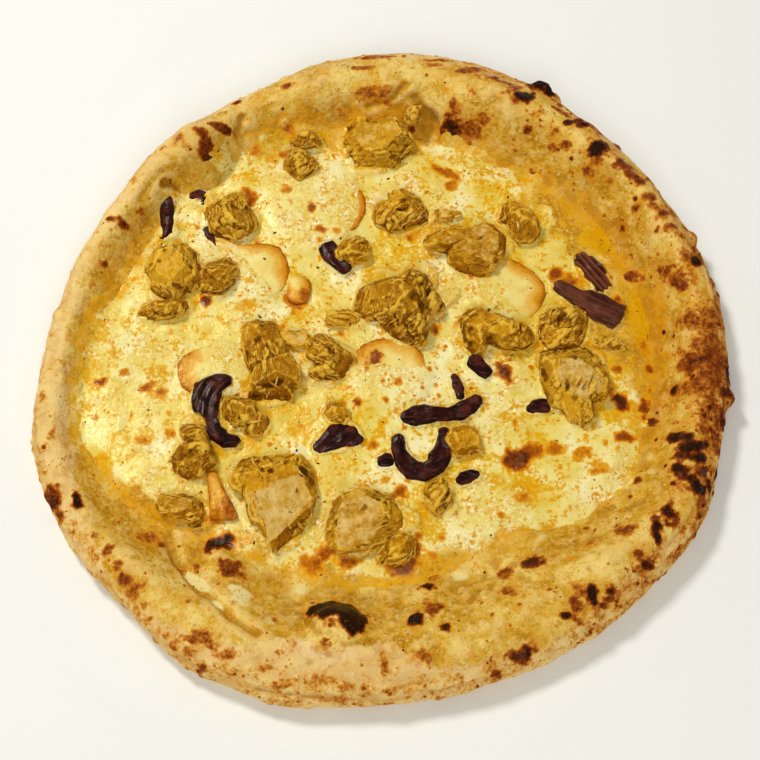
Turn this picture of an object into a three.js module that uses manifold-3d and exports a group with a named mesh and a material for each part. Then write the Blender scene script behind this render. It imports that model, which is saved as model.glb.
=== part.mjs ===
// A wood-fired chicken and pesto pizza: a puffed bread crust in one piece, a
// melted cheese layer lying in it, slices of smoked cheese, chunks of chicken
// and strips of red onion, each its own solid.
//
// Millimetres, +Z up. The pizza lies flat on its underside at z = 0 with the
// middle of its outline at the origin, and -Y is the side nearest the viewer.

import * as THREE from "three";
import { mergeVertices } from "three/addons/utils/BufferGeometryUtils.js";
import Module from "manifold-3d";

const wasm = await Module();
wasm.setup();

// ---------------------------------------------------------------- dimensions

const GAP = 0.3; // air left between two solids that touch

// The crust is measured at 24 places, every 15 degrees counter-clockwise from +X.
const OUTLINE_RADIUS = [
  156, 157, 156, 157, 161, 165, 163, 157, 152, 151, 148, 150,
  152, 158, 158, 156, 160, 159, 154, 152, 153, 155, 158, 156,
];
// Where the rim's inner slope comes down to the flat base.
const RIM_FOOT_RADIUS = [
  124, 126, 129, 124, 118, 114, 113, 115, 119, 123, 126, 125,
  128, 133, 130, 122, 109, 107, 105, 102, 101, 108, 118, 122,
];
const RIM_HEIGHT = [
  21, 22, 23, 25, 26, 26, 27, 26, 25, 23, 20, 18,
  17, 17, 18, 20, 21, 21, 21, 21, 21, 21, 21, 21,
];
const CREST_SHARE = 0.4; // the rim's highest line, as a share of its width from outside
const WIDEST_SHARE = 0.42; // height of the rim's widest line, as a share of its height
const TUCK = 7; // how far the rim's underside curls in from the widest line
const BASE_THICKNESS = 4;
const AROUND = 76; // steps around the crust
const BASE_RINGS = [0.3, 0.6, 0.82]; // rings on the flat base, as shares of the foot radius
const RIM_STEPS = 9; // steps across the top of the rim
const TUCK_STEPS = 3; // steps down its outer side

// Blisters and hollows of the crust: x, y, radius, height. A hollow has a height below 0.
const BLISTERS = [
  [-82, 107, 20, 7],
  [-17, -119, 14, 8],
  [-62, -98, 19, 5],
  [-98, -92, 17, 3],
  [66, -88, 18, 4],
  [100, -92, 18, 3],
  [20, -113, 15, 3],
  [94, 98, 18, 3],
  [46, 127, 20, 5],
  [-32, 140, 22, 3],
  [132, 42, 15, 3],
  [128, -38, 15, 3],
  [17, 122, 9, -5],
  [-42, -114, 14, -3],
  [-80, -106, 12, -3],
];
// Burnt bubbles that stand out of the crust's outer edge: angle in degrees, height, radius.
const BURNT_BUBBLES = [
  [61, 17, 5.5],
  [58, 15, 4],
  [22.5, 14, 4],
  [353, 10, 6],
];

// The melted cheese, with its edge at the same 24 angles.
const CHEESE_EDGE_RADIUS = [
  119, 120, 120, 115, 111, 112, 114, 121, 125, 125, 125, 121,
  124, 129, 125, 115, 104, 104, 107, 103, 97, 106, 116, 120,
];
const CHEESE_THICKNESS = 2.8;
const CHEESE_EDGE_THICKNESS = 1.2;
const CHEESE_EDGE_TAPER = 14; // how far in from its edge the cheese reaches full thickness
const CHEESE_AROUND = 56;
const CHEESE_RINGS = [0.22, 0.44, 0.64, 0.8, 0.92, 1];
const CHEESE_WAVE = 0.45; // height of its slow waves
const CHEESE_WAVELENGTH = 52;

// Slices of smoked cheese: name, x, y, length, width, height above the melted
// cheese, turn in degrees.
const SLICES = [
  ["slice_top_left", -30, 81, 52, 48, 2.4, 40],
  ["slice_left", -57, 47, 35, 33, 2.2, 0],
  ["slice_middle", 4, -4, 39, 38, 2.2, 0],
  ["slice_right", 59, 38, 40, 32, 2.2, -35],
  ["slice_far_left", -76, -3, 35, 26, 2, 12],
  ["slice_low_right", 60, -5, 24, 22, 1.6, 10],
  ["slice_wedge", -37, 37, 17, 13, 3.4, 80],
  ["slice_on_edge", -68, -63, 27, 9, 6, -70],
];

// Onion strips: name, thickness, then the points that each runs through: x, y
// and the strip's width there.
const ONIONS = [
  ["onion_far_left", 6, [-100, 84, 6], [-99, 75, 8], [-98, 64, 8]],
  ["onion_nub_left", 6, [-89, 86, 7], [-84, 86, 10], [-81, 83, 8]],
  ["onion_sliver_left", 4, [-81, 69, 4], [-78, 64, 5], [-75, 60, 4]],
  ["onion_petal_middle", 7, [-25, 60, 8], [-21, 53, 10], [-15, 46, 6]],
  ["onion_curl_left", 8, [-67, -8, 7], [-76, -13, 13], [-77, -21, 14], [-74, -29, 11], [-69, -37, 9], [-62, -38, 6]],
  ["onion_knot", 6, [-28, -42, 6], [-21, -37, 13], [-14, -35, 13], [-8, -38, 5]],
  ["onion_wave", 7, [10, -27, 6], [16, -26, 10], [24, -25, 8], [32, -25, 7], [39, -22, 9], [44, -18, 7]],
  ["onion_hook", 7, [8, -36, 6], [9, -45, 9], [15, -52, 10], [22, -52, 10], [27, -44, 9], [29, -33, 7]],
  ["onion_tip", 6, [0, -49, 4], [3, -47, 8], [6, -46, 6]],
  ["onion_chip_middle", 4, [33, -6, 3], [35, -12, 5], [36, -17, 4]],
  ["onion_nub_middle", 5, [41, 2, 6], [45, -2, 9], [49, -6, 5]],
  ["onion_nub_right", 5, [66, -23, 4], [70, -21, 8], [75, -21, 6]],
  ["onion_chip_low", 5, [34, -57, 4], [38, -54, 8], [43, -54, 5]],
  ["onion_long_right", 8, [81, 39, 5], [88, 34, 9], [96, 29, 13], [104, 25, 15], [109, 22, 15]],
  ["onion_ridged", 7, [92, 54, 6], [96, 50, 10], [99, 45, 11], [103, 37, 9]],
];
const STRIP_SIDES = 6;
const STRIP_STEP = 6; // length of one step along a strip

// Chicken: name, then its lobes, each x, y, length, width, height, turn in
// degrees, and how much narrower the far end is, as a share.
const CHICKEN = [
  ["chicken_top", [1, 113, 29, 28, 15, 20, 0], [-11, 120, 28, 13, 11, 80, 0.2], [-5, 104, 18, 13, 10, 0, 0]],
  ["chicken_top_small", [-37, 102, 16, 14, 10, 50, 0.1]],
  ["chicken_top_bit", [-35, 116, 18, 9, 7, 5, 0]],
  ["chicken_rim_shred", [17, 129, 14, 7, 6, 58, 0.3]],
  ["chicken_left_shreds", [-75, 71, 34, 10, 10, 109, 0.3], [-67, 75, 25, 13, 12, 100, 0], [-61, 73, 12, 10, 8, 60, 0]],
  ["chicken_left", [-94, 46, 26, 27, 14, 40, 0.1], [-98, 35, 15, 10, 8, 0, 0]],
  ["chicken_left_nub", [-74, 42, 23, 16, 12, 60, 0.1]],
  ["chicken_left_strip", [-97, 26, 27, 10, 8, 15, 0.1]],
  ["chicken_by_petal", [-12, 56, 16, 13, 9, 0, 0]],
  ["chicken_sunk", [-15, 21, 18, 9, 5, -15, 0.3]],
  ["chicken_crown", [12, 82, 16, 12, 12, 15, 0], [19, 74, 10, 12, 10, 90, 0], [11, 70, 16, 10, 10, 10, 0],
    [3, 76, 12, 12, 9, 90, 0]],
  ["chicken_shred_top", [30, 76, 15, 7, 5, 0, 0.3]],
  ["chicken_upper_right", [32, 62, 26, 14, 12, -8, 0.1], [49, 59, 26, 21, 14, 35, 0.1], [42, 52, 24, 18, 12, -30, 0]],
  ["chicken_round_right", [61, 77, 12, 11, 9, 60, 0], [67, 69, 17, 14, 11, 110, 0]],
  ["chicken_heap", [-1, 34, 30, 18, 14, 70, 0], [17, 42, 20, 18, 15, 30, 0], [10, 27, 24, 24, 16, 100, 0],
    [13, 15, 20, 14, 12, 0, 0], [28, 31, 22, 9, 8, 35, 0.4]],
  ["chicken_middle_right", [43, 20, 13, 12, 10, 40, 0], [41, 11, 15, 16, 11, 90, 0], [57, 14, 26, 16, 12, -15, 0.1]],
  ["chicken_curl", [84, 24, 22, 9, 9, -10, 0], [91, 17, 14, 9, 10, 80, 0], [84, 11, 20, 8, 8, 10, 0],
    [76, 16, 16, 9, 10, 80, 0], [84, 17, 11, 8, 5, 0, 0]],
  ["chicken_shred_right", [103, 9, 15, 7, 6, -20, 0.3]],
  ["chicken_right", [90, -7, 26, 30, 15, 0, 0], [87, -21, 20, 16, 12, -80, 0.3], [77, -8, 30, 11, 11, 100, 0.1]],
  ["chicken_upper_block", [-53, 8, 26, 19, 15, 100, 0.1], [-46, -8, 22, 17, 14, 20, 0], [-48, -16, 22, 10, 9, 8, 0]],
  ["chicken_flat_shred", [-37, 12, 15, 11, 6, -20, 0.3]],
  ["chicken_middle_left", [-22, 4, 24, 15, 12, -25, 0.1], [-22, -6, 20, 9, 8, 15, 0]],
  ["chicken_petals", [-66, -25, 16, 11, 9, 60, 0], [-59, -23, 19, 9, 10, 105, 0], [-54, -30, 13, 12, 6, 30, 0]],
  ["chicken_low_left", [-81, -32, 16, 12, 9, 100, 0], [-81, -47, 20, 17, 12, 30, 0]],
  ["chicken_small_left", [-87, -67, 20, 13, 10, 0, 0], [-77, -72, 13, 12, 8, 60, 0]],
  ["chicken_heart", [-43, -63, 33, 33, 15, 0, 0], [-42, -75, 29, 25, 13, -85, 0.5], [-58, -53, 18, 10, 11, 70, 0],
    [-45, -49, 30, 8, 11, 3, 0]],
  ["chicken_front", [-7, -75, 34, 28, 14, 10, 0.1], [9, -74, 18, 15, 11, 0, 0.45], [-14, -82, 19, 15, 11, 30, 0]],
  ["chicken_front_small", [8, -88, 18, 11, 9, 32, 0]],
  ["chicken_over_knot", [-19, -25, 13, 9, 6, -20, 0]],
  ["chicken_cube", [37, -38, 15, 15, 9, 3, 0]],
  ["chicken_under_hook", [24, -61, 17, 10, 6, 22, 0], [28, -67, 12, 9, 5, -30, 0]],
];
// How a lobe is made: its boxiness, where 1 is a round lobe and less is nearer
// to a block, its sides and levels, and its unevenness as a share of its size.
const CHICKEN_LOBE = { boxiness: 0.74, sides: 8, levels: 5, crag: 0.09 };
const SLICE_LOBE = { boxiness: 0.8, sides: 14, levels: 3, crag: 0.03 };

// ------------------------------------------------------------------- helpers

const TURN = Math.PI * 2;
const radians = (degrees) => (degrees * Math.PI) / 180;
const clamp01 = (t) => Math.min(1, Math.max(0, t));

// A smooth closed curve through values at even angles: a function of the angle.
function aroundCurve(values) {
  const n = values.length;
  return (angle) => {
    const at = ((((angle / TURN) % 1) + 1) % 1) * n;
    const i = Math.floor(at);
    const t = at - i;
    const [a, b, c, d] = [-1, 0, 1, 2].map((k) => values[(i + k + n) % n]);
    return (
      b +
      0.5 * t * (c - a + t * (2 * a - 5 * b + 4 * c - d + t * (3 * (b - c) + d - a)))
    );
  };
}

// The same number from 0 to 1 for the same seed each time.
function chance(seed) {
  const s = Math.sin(seed * 127.1 + 311.7) * 43758.5453;
  return s - Math.floor(s);
}

const outlineRadius = aroundCurve(OUTLINE_RADIUS);
const footRadius = aroundCurve(RIM_FOOT_RADIUS);
const rimHeight = aroundCurve(RIM_HEIGHT);
const cheeseEdgeRadius = aroundCurve(CHEESE_EDGE_RADIUS);

// A closed mesh from points and triangles.
function meshOf(points, triangles) {
  return new THREE.BufferGeometry()
    .setAttribute("position", new THREE.Float32BufferAttribute(points.flat(), 3))
    .setIndex(triangles.flat());
}

function solidOf(geometry) {
  const bare = geometry.clone();
  bare.deleteAttribute("normal");
  bare.deleteAttribute("uv");
  const merged = mergeVertices(bare, 1e-3);
  return new wasm.Manifold(
    new wasm.Mesh({
      numProp: 3,
      vertProperties: new Float32Array(merged.attributes.position.array),
      triVerts: new Uint32Array(merged.index.array),
    }),
  );
}

function geometryOf(solid) {
  const mesh = solid.getMesh();
  const positions = new Float32Array(mesh.numVert * 3);
  for (let i = 0; i < mesh.numVert; i++) {
    const start = i * mesh.numProp;
    positions.set(mesh.vertProperties.subarray(start, start + 3), i * 3);
  }
  const geometry = new THREE.BufferGeometry()
    .setAttribute("position", new THREE.BufferAttribute(positions, 3))
    .setIndex(new THREE.BufferAttribute(mesh.triVerts, 1));
  geometry.computeVertexNormals();
  return geometry;
}

// The largest body of a solid, so that a scrap left by a cut is dropped.
function largestBody(solid) {
  return solid.decompose().reduce((a, b) => (b.volume() > a.volume() ? b : a));
}

// Joins rings of points, each with the same count, into one closed skin. The
// first ring closes on the point `start`, and the last on the point `end`.
function skinOfRings(start, rings, end) {
  const count = rings[0].length;
  const points = [start, ...rings.flat(), end];
  const last = points.length - 1;
  const at = (ring, i) => 1 + ring * count + (i % count);
  const triangles = [];
  for (let i = 0; i < count; i++) {
    triangles.push([0, at(0, i), at(0, i + 1)]);
    for (let ring = 0; ring + 1 < rings.length; ring++) {
      triangles.push([at(ring, i), at(ring + 1, i), at(ring + 1, i + 1)]);
      triangles.push([at(ring, i), at(ring + 1, i + 1), at(ring, i + 1)]);
    }
    triangles.push([last, at(rings.length - 1, i + 1), at(rings.length - 1, i)]);
  }
  return meshOf(points, triangles);
}

const ringAt = (count, pointAt) =>
  Array.from({ length: count }, (_, i) => pointAt((i / count) * TURN));

// --------------------------------------------------------------------- crust

// What the blisters and hollows add to the crust's height at a point.
function blisterHeight(x, y) {
  let height = 0;
  for (const [bx, by, radius, rise] of BLISTERS) {
    const q = Math.hypot(x - bx, y - by) / radius;
    if (q < 1) height += rise * (1 - q * q) ** 2;
  }
  return height;
}

// Height of the crust's top at a point.
function crustTop(x, y) {
  const angle = Math.atan2(y, x);
  const outline = outlineRadius(angle);
  const width = outline - footRadius(angle);
  const across = clamp01((outline - Math.hypot(x, y)) / width);
  const top = rimHeight(angle);
  const widest = WIDEST_SHARE * top;
  let height;
  if (across < CREST_SHARE) {
    const q = 1 - across / CREST_SHARE;
    height = widest + (top - widest) * Math.sqrt(1 - q * q);
  } else {
    const q = (across - CREST_SHARE) / (1 - CREST_SHARE);
    height = BASE_THICKNESS + (top - BASE_THICKNESS) * (0.5 + 0.5 * Math.cos(Math.PI * q));
  }
  return height + blisterHeight(x, y) * clamp01(across * 6);
}

function crustGeometry(lift) {
  const rings = [];
  const addRing = (radiusAt, heightAt) =>
    rings.push(
      ringAt(AROUND, (angle) => {
        const radius = radiusAt(angle);
        const x = radius * Math.cos(angle);
        const y = radius * Math.sin(angle);
        return [x, y, lift + heightAt(x, y, angle)];
      }),
    );
  for (const share of BASE_RINGS) addRing((a) => share * footRadius(a), crustTop);
  for (let i = 0; i <= RIM_STEPS; i++) {
    // Steps close up towards the outline, where the rim turns down.
    const share = 1 - (i / RIM_STEPS) ** 1.25;
    addRing((a) => outlineRadius(a) - share ** 1.3 * (outlineRadius(a) - footRadius(a)), crustTop);
  }
  for (let i = 1; i <= TUCK_STEPS; i++) {
    const turn = (i / TUCK_STEPS) * (Math.PI / 2);
    addRing(
      (a) => outlineRadius(a) - TUCK * (1 - Math.cos(turn)),
      (x, y, a) => WIDEST_SHARE * rimHeight(a) * (1 - Math.sin(turn)),
    );
  }
  return skinOfRings([0, 0, lift + BASE_THICKNESS], rings, [0, 0, lift]);
}

function burntBubble([degrees, height, radius], lift) {
  const angle = radians(degrees);
  const reach = outlineRadius(angle) - radius / 2;
  return new THREE.SphereGeometry(radius, 10, 7).translate(
    reach * Math.cos(angle),
    reach * Math.sin(angle),
    height + lift,
  );
}

function crustSolid(lift = 0) {
  return BURNT_BUBBLES.reduce(
    (crust, bubble) => crust.add(solidOf(burntBubble(bubble, lift))),
    solidOf(crustGeometry(lift)),
  );
}

// ------------------------------------------------------------- melted cheese

function cheeseTop(x, y) {
  const inFromEdge = cheeseEdgeRadius(Math.atan2(y, x)) - Math.hypot(x, y);
  const taper = clamp01(inFromEdge / CHEESE_EDGE_TAPER);
  const wave =
    Math.sin((TURN * (x + 0.6 * y)) / CHEESE_WAVELENGTH) *
    Math.cos((TURN * (y - 0.3 * x)) / CHEESE_WAVELENGTH);
  const thickness =
    CHEESE_EDGE_THICKNESS +
    (CHEESE_THICKNESS - CHEESE_EDGE_THICKNESS + CHEESE_WAVE * wave) * taper;
  return crustTop(x, y) + thickness;
}

// The layer down to the middle of the base, before the crust is cut out of it.
function cheeseBlank(lift) {
  const floor = BASE_THICKNESS / 2;
  const ringOf = (share, heightAt) =>
    ringAt(CHEESE_AROUND, (angle) => {
      const radius = share * cheeseEdgeRadius(angle);
      const x = radius * Math.cos(angle);
      const y = radius * Math.sin(angle);
      return [x, y, heightAt(x, y)];
    });
  const rings = CHEESE_RINGS.map((share) => ringOf(share, (x, y) => lift + cheeseTop(x, y)));
  rings.push(ringOf(1, () => floor));
  return solidOf(skinOfRings([0, 0, lift + cheeseTop(0, 0)], rings, [0, 0, floor]));
}

// ------------------------------------------------------------------ toppings

// Height of what a topping lies on.
function groundHeight(x, y) {
  const inside = Math.hypot(x, y) < cheeseEdgeRadius(Math.atan2(y, x));
  return inside ? cheeseTop(x, y) : crustTop(x, y);
}

// An uneven rounded block whose middle is at the ground, so that the upper half shows.
function lobeGeometry([x, y, length, width, height, turn, narrower], style, grow) {
  const geometry = new THREE.SphereGeometry(1, style.sides, style.levels).rotateX(Math.PI / 2);
  const positions = geometry.attributes.position;
  const v = new THREE.Vector3();
  const squared = (t) => Math.sign(t) * Math.abs(t) ** style.boxiness;
  for (let i = 0; i < positions.count; i++) {
    v.fromBufferAttribute(positions, i);
    const [nx, ny, nz] = [v.x, v.y, v.z].map((t) => Math.round(t * 1000));
    const uneven = 1 + style.crag * (2 * chance(nx + 3.7 * ny + 5.3 * nz + x + 2 * y) - 1);
    v.set(squared(v.x), squared(v.y) * (1 - (narrower * (v.x + 1)) / 2), squared(v.z));
    v.multiplyScalar(uneven);
    positions.setXYZ(
      i,
      v.x * (length / 2 + grow),
      v.y * (width / 2 + grow),
      v.z * (height + grow),
    );
  }
  return geometry.rotateZ(radians(turn)).translate(x, y, groundHeight(x, y));
}

function lobesSolid(lobes, style, grow) {
  return lobes
    .map((lobe) => solidOf(lobeGeometry(lobe, style, grow)))
    .reduce((a, b) => a.add(b));
}

// A flattened strip along a curve on the ground, with round ends.
function stripSolid(thickness, corners, grow) {
  const line = new THREE.CatmullRomCurve3(
    corners.map(([x, y]) => new THREE.Vector3(x, y, groundHeight(x, y) + thickness * 0.3)),
  );
  const widths = new THREE.SplineCurve(corners.map(([, , width]) => new THREE.Vector2(width, 0)));
  const steps = Math.max(3, Math.ceil(line.getLength() / STRIP_STEP));
  const up = new THREE.Vector3(0, 0, 1);
  const endAt = (share, outward) =>
    line.getPointAt(share).addScaledVector(line.getTangentAt(share), outward).toArray();
  const rings = [];
  for (let i = 0; i <= steps; i++) {
    const share = i / steps;
    const middle = line.getPointAt(share);
    const width = widths.getPoint(line.getUtoTmapping(share)).x;
    const side = new THREE.Vector3().crossVectors(line.getTangentAt(share), up).normalize();
    // Thinner at the ends, and a little uneven along its length.
    const fullness = 0.62 + 0.38 * Math.sin(Math.PI * share) ** 0.5;
    const uneven = 1 + 0.1 * Math.sin(i * 1.9 + thickness + corners[0][0]);
    rings.push(
      ringAt(STRIP_SIDES, (angle) =>
        middle
          .clone()
          .addScaledVector(side, Math.cos(angle) * ((width / 2) * uneven + grow))
          .addScaledVector(up, Math.sin(angle) * ((thickness / 2) * fullness + grow))
          .toArray(),
      ),
    );
  }
  const cap = thickness * 0.2 + grow;
  return solidOf(skinOfRings(endAt(0, -cap), rings, endAt(1, cap)));
}

// Every topping as a function of how much it is grown, in the order that they
// are laid down: a later one is cut where it meets an earlier one.
function toppingMakers() {
  const slices = SLICES.map(([name, ...lobe]) => ({
    name,
    kind: "slice",
    make: (grow) => lobesSolid([[...lobe, 0]], SLICE_LOBE, grow),
  }));
  const onions = ONIONS.map(([name, thickness, ...corners]) => ({
    name,
    kind: "onion",
    make: (grow) => stripSolid(thickness, corners, grow),
  }));
  const chicken = CHICKEN.map(([name, ...lobes]) => ({
    name,
    kind: "chicken",
    make: (grow) => lobesSolid(lobes, CHICKEN_LOBE, grow),
  }));
  return [...slices, ...chicken, ...onions];
}

// ------------------------------------------------------------------ assembly

const FINISH = {
  crust: new THREE.MeshStandardMaterial({ color: 0xd9ab62, roughness: 0.75 }),
  cheese: new THREE.MeshStandardMaterial({ color: 0xf0e09a, roughness: 0.3 }),
  slice: new THREE.MeshStandardMaterial({ color: 0xecd08a, roughness: 0.35 }),
  onion: new THREE.MeshStandardMaterial({ color: 0x36161c, roughness: 0.3 }),
  chicken: new THREE.MeshStandardMaterial({ color: 0xb98732, roughness: 0.5 }),
};

const pizza = new THREE.Group();

function addPiece(name, kind, solid) {
  const piece = new THREE.Mesh(geometryOf(solid), FINISH[kind]);
  piece.name = name;
  pizza.add(piece);
}

const crust = crustSolid();
addPiece("crust", "crust", crust);

const crustLifted = crustSolid(GAP);
const cheese = largestBody(cheeseBlank(0).subtract(crustLifted));
addPiece("cheese_melted", "cheese", cheese);

// What is under the toppings, grown upwards by the gap.
const ground = crustLifted.add(cheeseBlank(GAP));
const laid = [];
for (const { name, kind, make } of toppingMakers()) {
  const whole = make(0).subtract(ground);
  const near = laid.filter((other) => other.whole.intersect(whole).volume() > 0);
  const solid = largestBody(near.reduce((s, other) => s.subtract(other.grown), whole));
  addPiece(name, kind, solid);
  laid.push({ whole: make(GAP), grown: make(GAP) });
}

// The middle of the whole outline goes to the origin.
const middle = new THREE.Box3().setFromObject(pizza).getCenter(new THREE.Vector3());
pizza.position.set(-middle.x, -middle.y, 0);
const part = new THREE.Group();
part.add(pizza);

export default part;
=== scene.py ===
# %% [markdown]
# # A chicken pesto pizza, fresh from a wood-fired oven
#
# The solids of the pizza are already made and packed: a bread crust, a layer of melted
# cheese, slices of smoked cheese, chunks of chicken and strips of red onion. They are
# right in size and place, but plain and faceted. This lesson gives each of them its real
# surface. The way is the same each time: copy a solid, cover the copy with small even
# faces, push its points in and out with noise and with forms that have a name, and
# paint it with a procedural material that reads the same forms.
#
# Sizes are in millimetres, the unit a cook would use, and become metres where Blender
# gets them.

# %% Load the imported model
import math
import bmesh
import bpy
import numpy as np
from mathutils import Matrix, Vector
from mathutils.bvhtree import BVHTree


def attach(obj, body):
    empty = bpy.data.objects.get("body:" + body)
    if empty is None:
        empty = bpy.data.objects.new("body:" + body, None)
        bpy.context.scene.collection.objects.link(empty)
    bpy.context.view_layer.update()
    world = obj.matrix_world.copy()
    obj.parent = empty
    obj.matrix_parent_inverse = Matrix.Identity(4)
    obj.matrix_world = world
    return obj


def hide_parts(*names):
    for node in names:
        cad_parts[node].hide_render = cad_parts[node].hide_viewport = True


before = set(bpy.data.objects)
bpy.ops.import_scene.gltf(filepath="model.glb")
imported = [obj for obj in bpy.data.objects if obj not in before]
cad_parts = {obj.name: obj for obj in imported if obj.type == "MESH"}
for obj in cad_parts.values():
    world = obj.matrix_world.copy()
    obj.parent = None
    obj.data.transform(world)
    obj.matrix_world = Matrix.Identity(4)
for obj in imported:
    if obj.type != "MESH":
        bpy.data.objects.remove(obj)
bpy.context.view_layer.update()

MM = 0.001

# %% [markdown]
# ## The camera
#
# The picture was taken from above at about 66 degrees, by someone who stood at the near
# side. The camera comes first, because marks such as burnt spots are placed by where the
# picture shows them: a ray from the camera through that pixel is followed to the surface.

# %% Camera
PICTURE = 760                # pixels along each side of the picture
ELEVATION = math.radians(66)
DISTANCE = 700               # from the camera to the middle of the pizza
AIM = np.array([-1.6, -12.5, 8.0])
PIXELS_PER_MM = 2.2415       # at the point that it aims at
SENSOR_WIDTH = 36

away = np.array([0, -math.cos(ELEVATION), math.sin(ELEVATION)])
picture_up = np.array([0, math.sin(ELEVATION), math.cos(ELEVATION)])
eye = AIM + away * DISTANCE
focal_pixels = PIXELS_PER_MM * DISTANCE

camera_data = bpy.data.cameras.new("camera")
camera_data.sensor_width = SENSOR_WIDTH
camera_data.lens = focal_pixels / PICTURE * SENSOR_WIDTH
camera_data.clip_end = 10     # in metres


def put_in_scene(name, data):
    """A new object with that data, in the scene."""
    thing = bpy.data.objects.new(name, data)
    bpy.context.scene.collection.objects.link(thing)
    return thing


camera = put_in_scene("camera", camera_data)
camera.location = eye * MM
camera.rotation_euler = (math.pi / 2 - ELEVATION, 0, 0)
bpy.context.scene.camera = camera
print("lens", round(camera_data.lens, 1), "mm")


def seen_at(surface, column, row):
    """The point, in mm, where the camera sees the surface at that pixel."""
    ray = np.array([column - PICTURE / 2, 0, 0]) + (PICTURE / 2 - row) * picture_up
    ray = ray - away * focal_pixels
    hit = surface.ray_cast(Vector(eye), Vector(ray).normalized())[0]
    return None if hit is None else np.array(hit)


# %% [markdown]
# ## Tools for shapes
#
# A few small helpers read the points of a mesh into an array, so that one line of
# arithmetic can move all of them, and write them back. Others keep a number at each
# point, such as how burnt it is, for the material to read.

# %% Points in and out of a mesh
def read_vectors(mesh, kind):
    """A row of three numbers for each point of a mesh: its place, or its normal."""
    flat = np.empty(len(mesh.vertices) * 3, dtype=np.float32)
    mesh.vertices.foreach_get(kind, flat)
    return flat.reshape(-1, 3).astype(float)


def read_points(mesh):
    return read_vectors(mesh, "co") / MM


def read_normals(mesh):
    return read_vectors(mesh, "normal")


def write_points(mesh, points):
    mesh.vertices.foreach_set("co", (points * MM).astype(np.float32).ravel())
    mesh.update()


def store(mesh, **numbers):
    """Keeps numbers for each point of a mesh, under a name, for its material to read."""
    for name, values in numbers.items():
        layer = mesh.attributes.new(name, "FLOAT", "POINT")
        layer.data.foreach_set("value", np.asarray(values, dtype=np.float32))


def store_vectors(mesh, name, values):
    layer = mesh.attributes.new(name, "FLOAT_VECTOR", "POINT")
    layer.data.foreach_set("vector", np.asarray(values, dtype=np.float32).ravel())


crust_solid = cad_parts["crust"].data
print("the solid crust has", len(read_points(crust_solid)), "points")

# %% [markdown]
# `fine_copy` is the start of every piece. It welds the solid's triangles, rounds its facets
# off, covers it with even faces and smooths the steps away. Where a gap is too narrow for
# food, the copy is first grown and then shrunk by the same amount, which closes it.

# %% A fine copy of a solid
def modify(thing, kind, **settings):
    modifier = thing.modifiers.new(kind.lower(), kind)
    for name, value in settings.items():
        setattr(modifier, name, value)


def fine_copy(node, face_size, smoothing, rounding=0, closing=0.0):
    """A copy of a solid with even faces. Closing fills gaps narrower than twice its mm."""
    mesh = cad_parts[node].data.copy()
    welded = bmesh.new()
    welded.from_mesh(mesh)
    bmesh.ops.remove_doubles(welded, verts=welded.verts, dist=0.01 * MM)
    welded.to_mesh(mesh)
    welded.free()
    rough = put_in_scene("rough", mesh)
    if rounding:
        modify(rough, "SUBSURF", levels=rounding)
    modify(rough, "REMESH", mode="VOXEL", voxel_size=face_size * MM)
    for distance in (closing, -closing) if closing else ():
        modify(rough, "DISPLACE", mid_level=0, strength=distance * MM)
        modify(rough, "REMESH", mode="VOXEL", voxel_size=face_size * MM)
    modify(rough, "SMOOTH", iterations=smoothing)
    ready = rough.evaluated_get(bpy.context.evaluated_depsgraph_get())
    fine = bpy.data.meshes.new_from_object(ready)
    bpy.data.objects.remove(rough)
    bpy.data.meshes.remove(mesh)
    return fine


CRUST_FACE = 1.0
crust_mesh = fine_copy("crust", CRUST_FACE, smoothing=6, rounding=2)
print("its fine copy has", len(crust_mesh.vertices))

# %% [markdown]
# More helpers look at a surface. One tells hollows from crests, by how far each point is
# from the mean of its neighbours. Others cast rays, to find a surface's height or the place
# that a pixel shows. The last one puts a finished mesh in the scene in place of its solid.

# %% Reading a surface, and adding a piece
def spread_out(mesh, values, rounds):
    """Each round, a point takes the mean of the values of the points joined to it."""
    flat = np.empty(len(mesh.edges) * 2, dtype=np.int32)
    mesh.edges.foreach_get("vertices", flat)
    ends = np.concatenate([flat, flat.reshape(-1, 2)[:, ::-1].ravel()])
    here, there = ends[0::2], ends[1::2]
    joined = np.maximum(np.bincount(here, minlength=len(values)), 1)
    values = values.reshape(len(values), -1)
    for _ in range(rounds):
        sums = [np.bincount(here, column[there], minlength=len(values)) for column in values.T]
        values = np.stack(sums, axis=1) / joined[:, None]
    return values


def standing_out(mesh, rounds, scale):
    """0 in a hollow, 0.5 on a flat place and 1 on a ridge that stands scale mm out."""
    points = read_points(mesh)
    apart = points - spread_out(mesh, points, rounds)
    return np.clip(0.5 + 0.5 * (apart * read_normals(mesh)).sum(axis=1) / scale, 0, 1)


def surface_of(*meshes):
    """What rays can be cast against, in mm."""
    points = []
    faces = []
    for mesh in meshes:
        start = len(points)
        points += read_points(mesh).tolist()
        faces += [[start + i for i in polygon.vertices] for polygon in mesh.polygons]
    return BVHTree.FromPolygons(points, faces)


HIGH_ABOVE = 80              # above all of the pizza, where rays that look down start
DOWN = Vector((0, 0, -1))


def height_below(surface, x, y):
    """The height of the surface at x and y, or 0 beside it."""
    hit = surface.ray_cast(Vector((x, y, HIGH_ABOVE)), DOWN)[0]
    return 0.0 if hit is None else hit.z


def places_on(*meshes):
    """A function that gives the place where the camera sees these meshes at a pixel."""
    surface = surface_of(*meshes)
    return lambda column, row: seen_at(surface, column, row)


def add_piece(name, mesh, material, slot, *nodes):
    """Shows a finished mesh, in place of the solids that it stands for."""
    mesh.name = name
    mesh.materials.clear()
    mesh.materials.append(material)
    mesh.polygons.foreach_set("use_smooth", [True] * len(mesh.polygons))
    piece = put_in_scene(name, mesh)
    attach(piece, "root")
    if nodes:
        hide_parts(*nodes)


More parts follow.
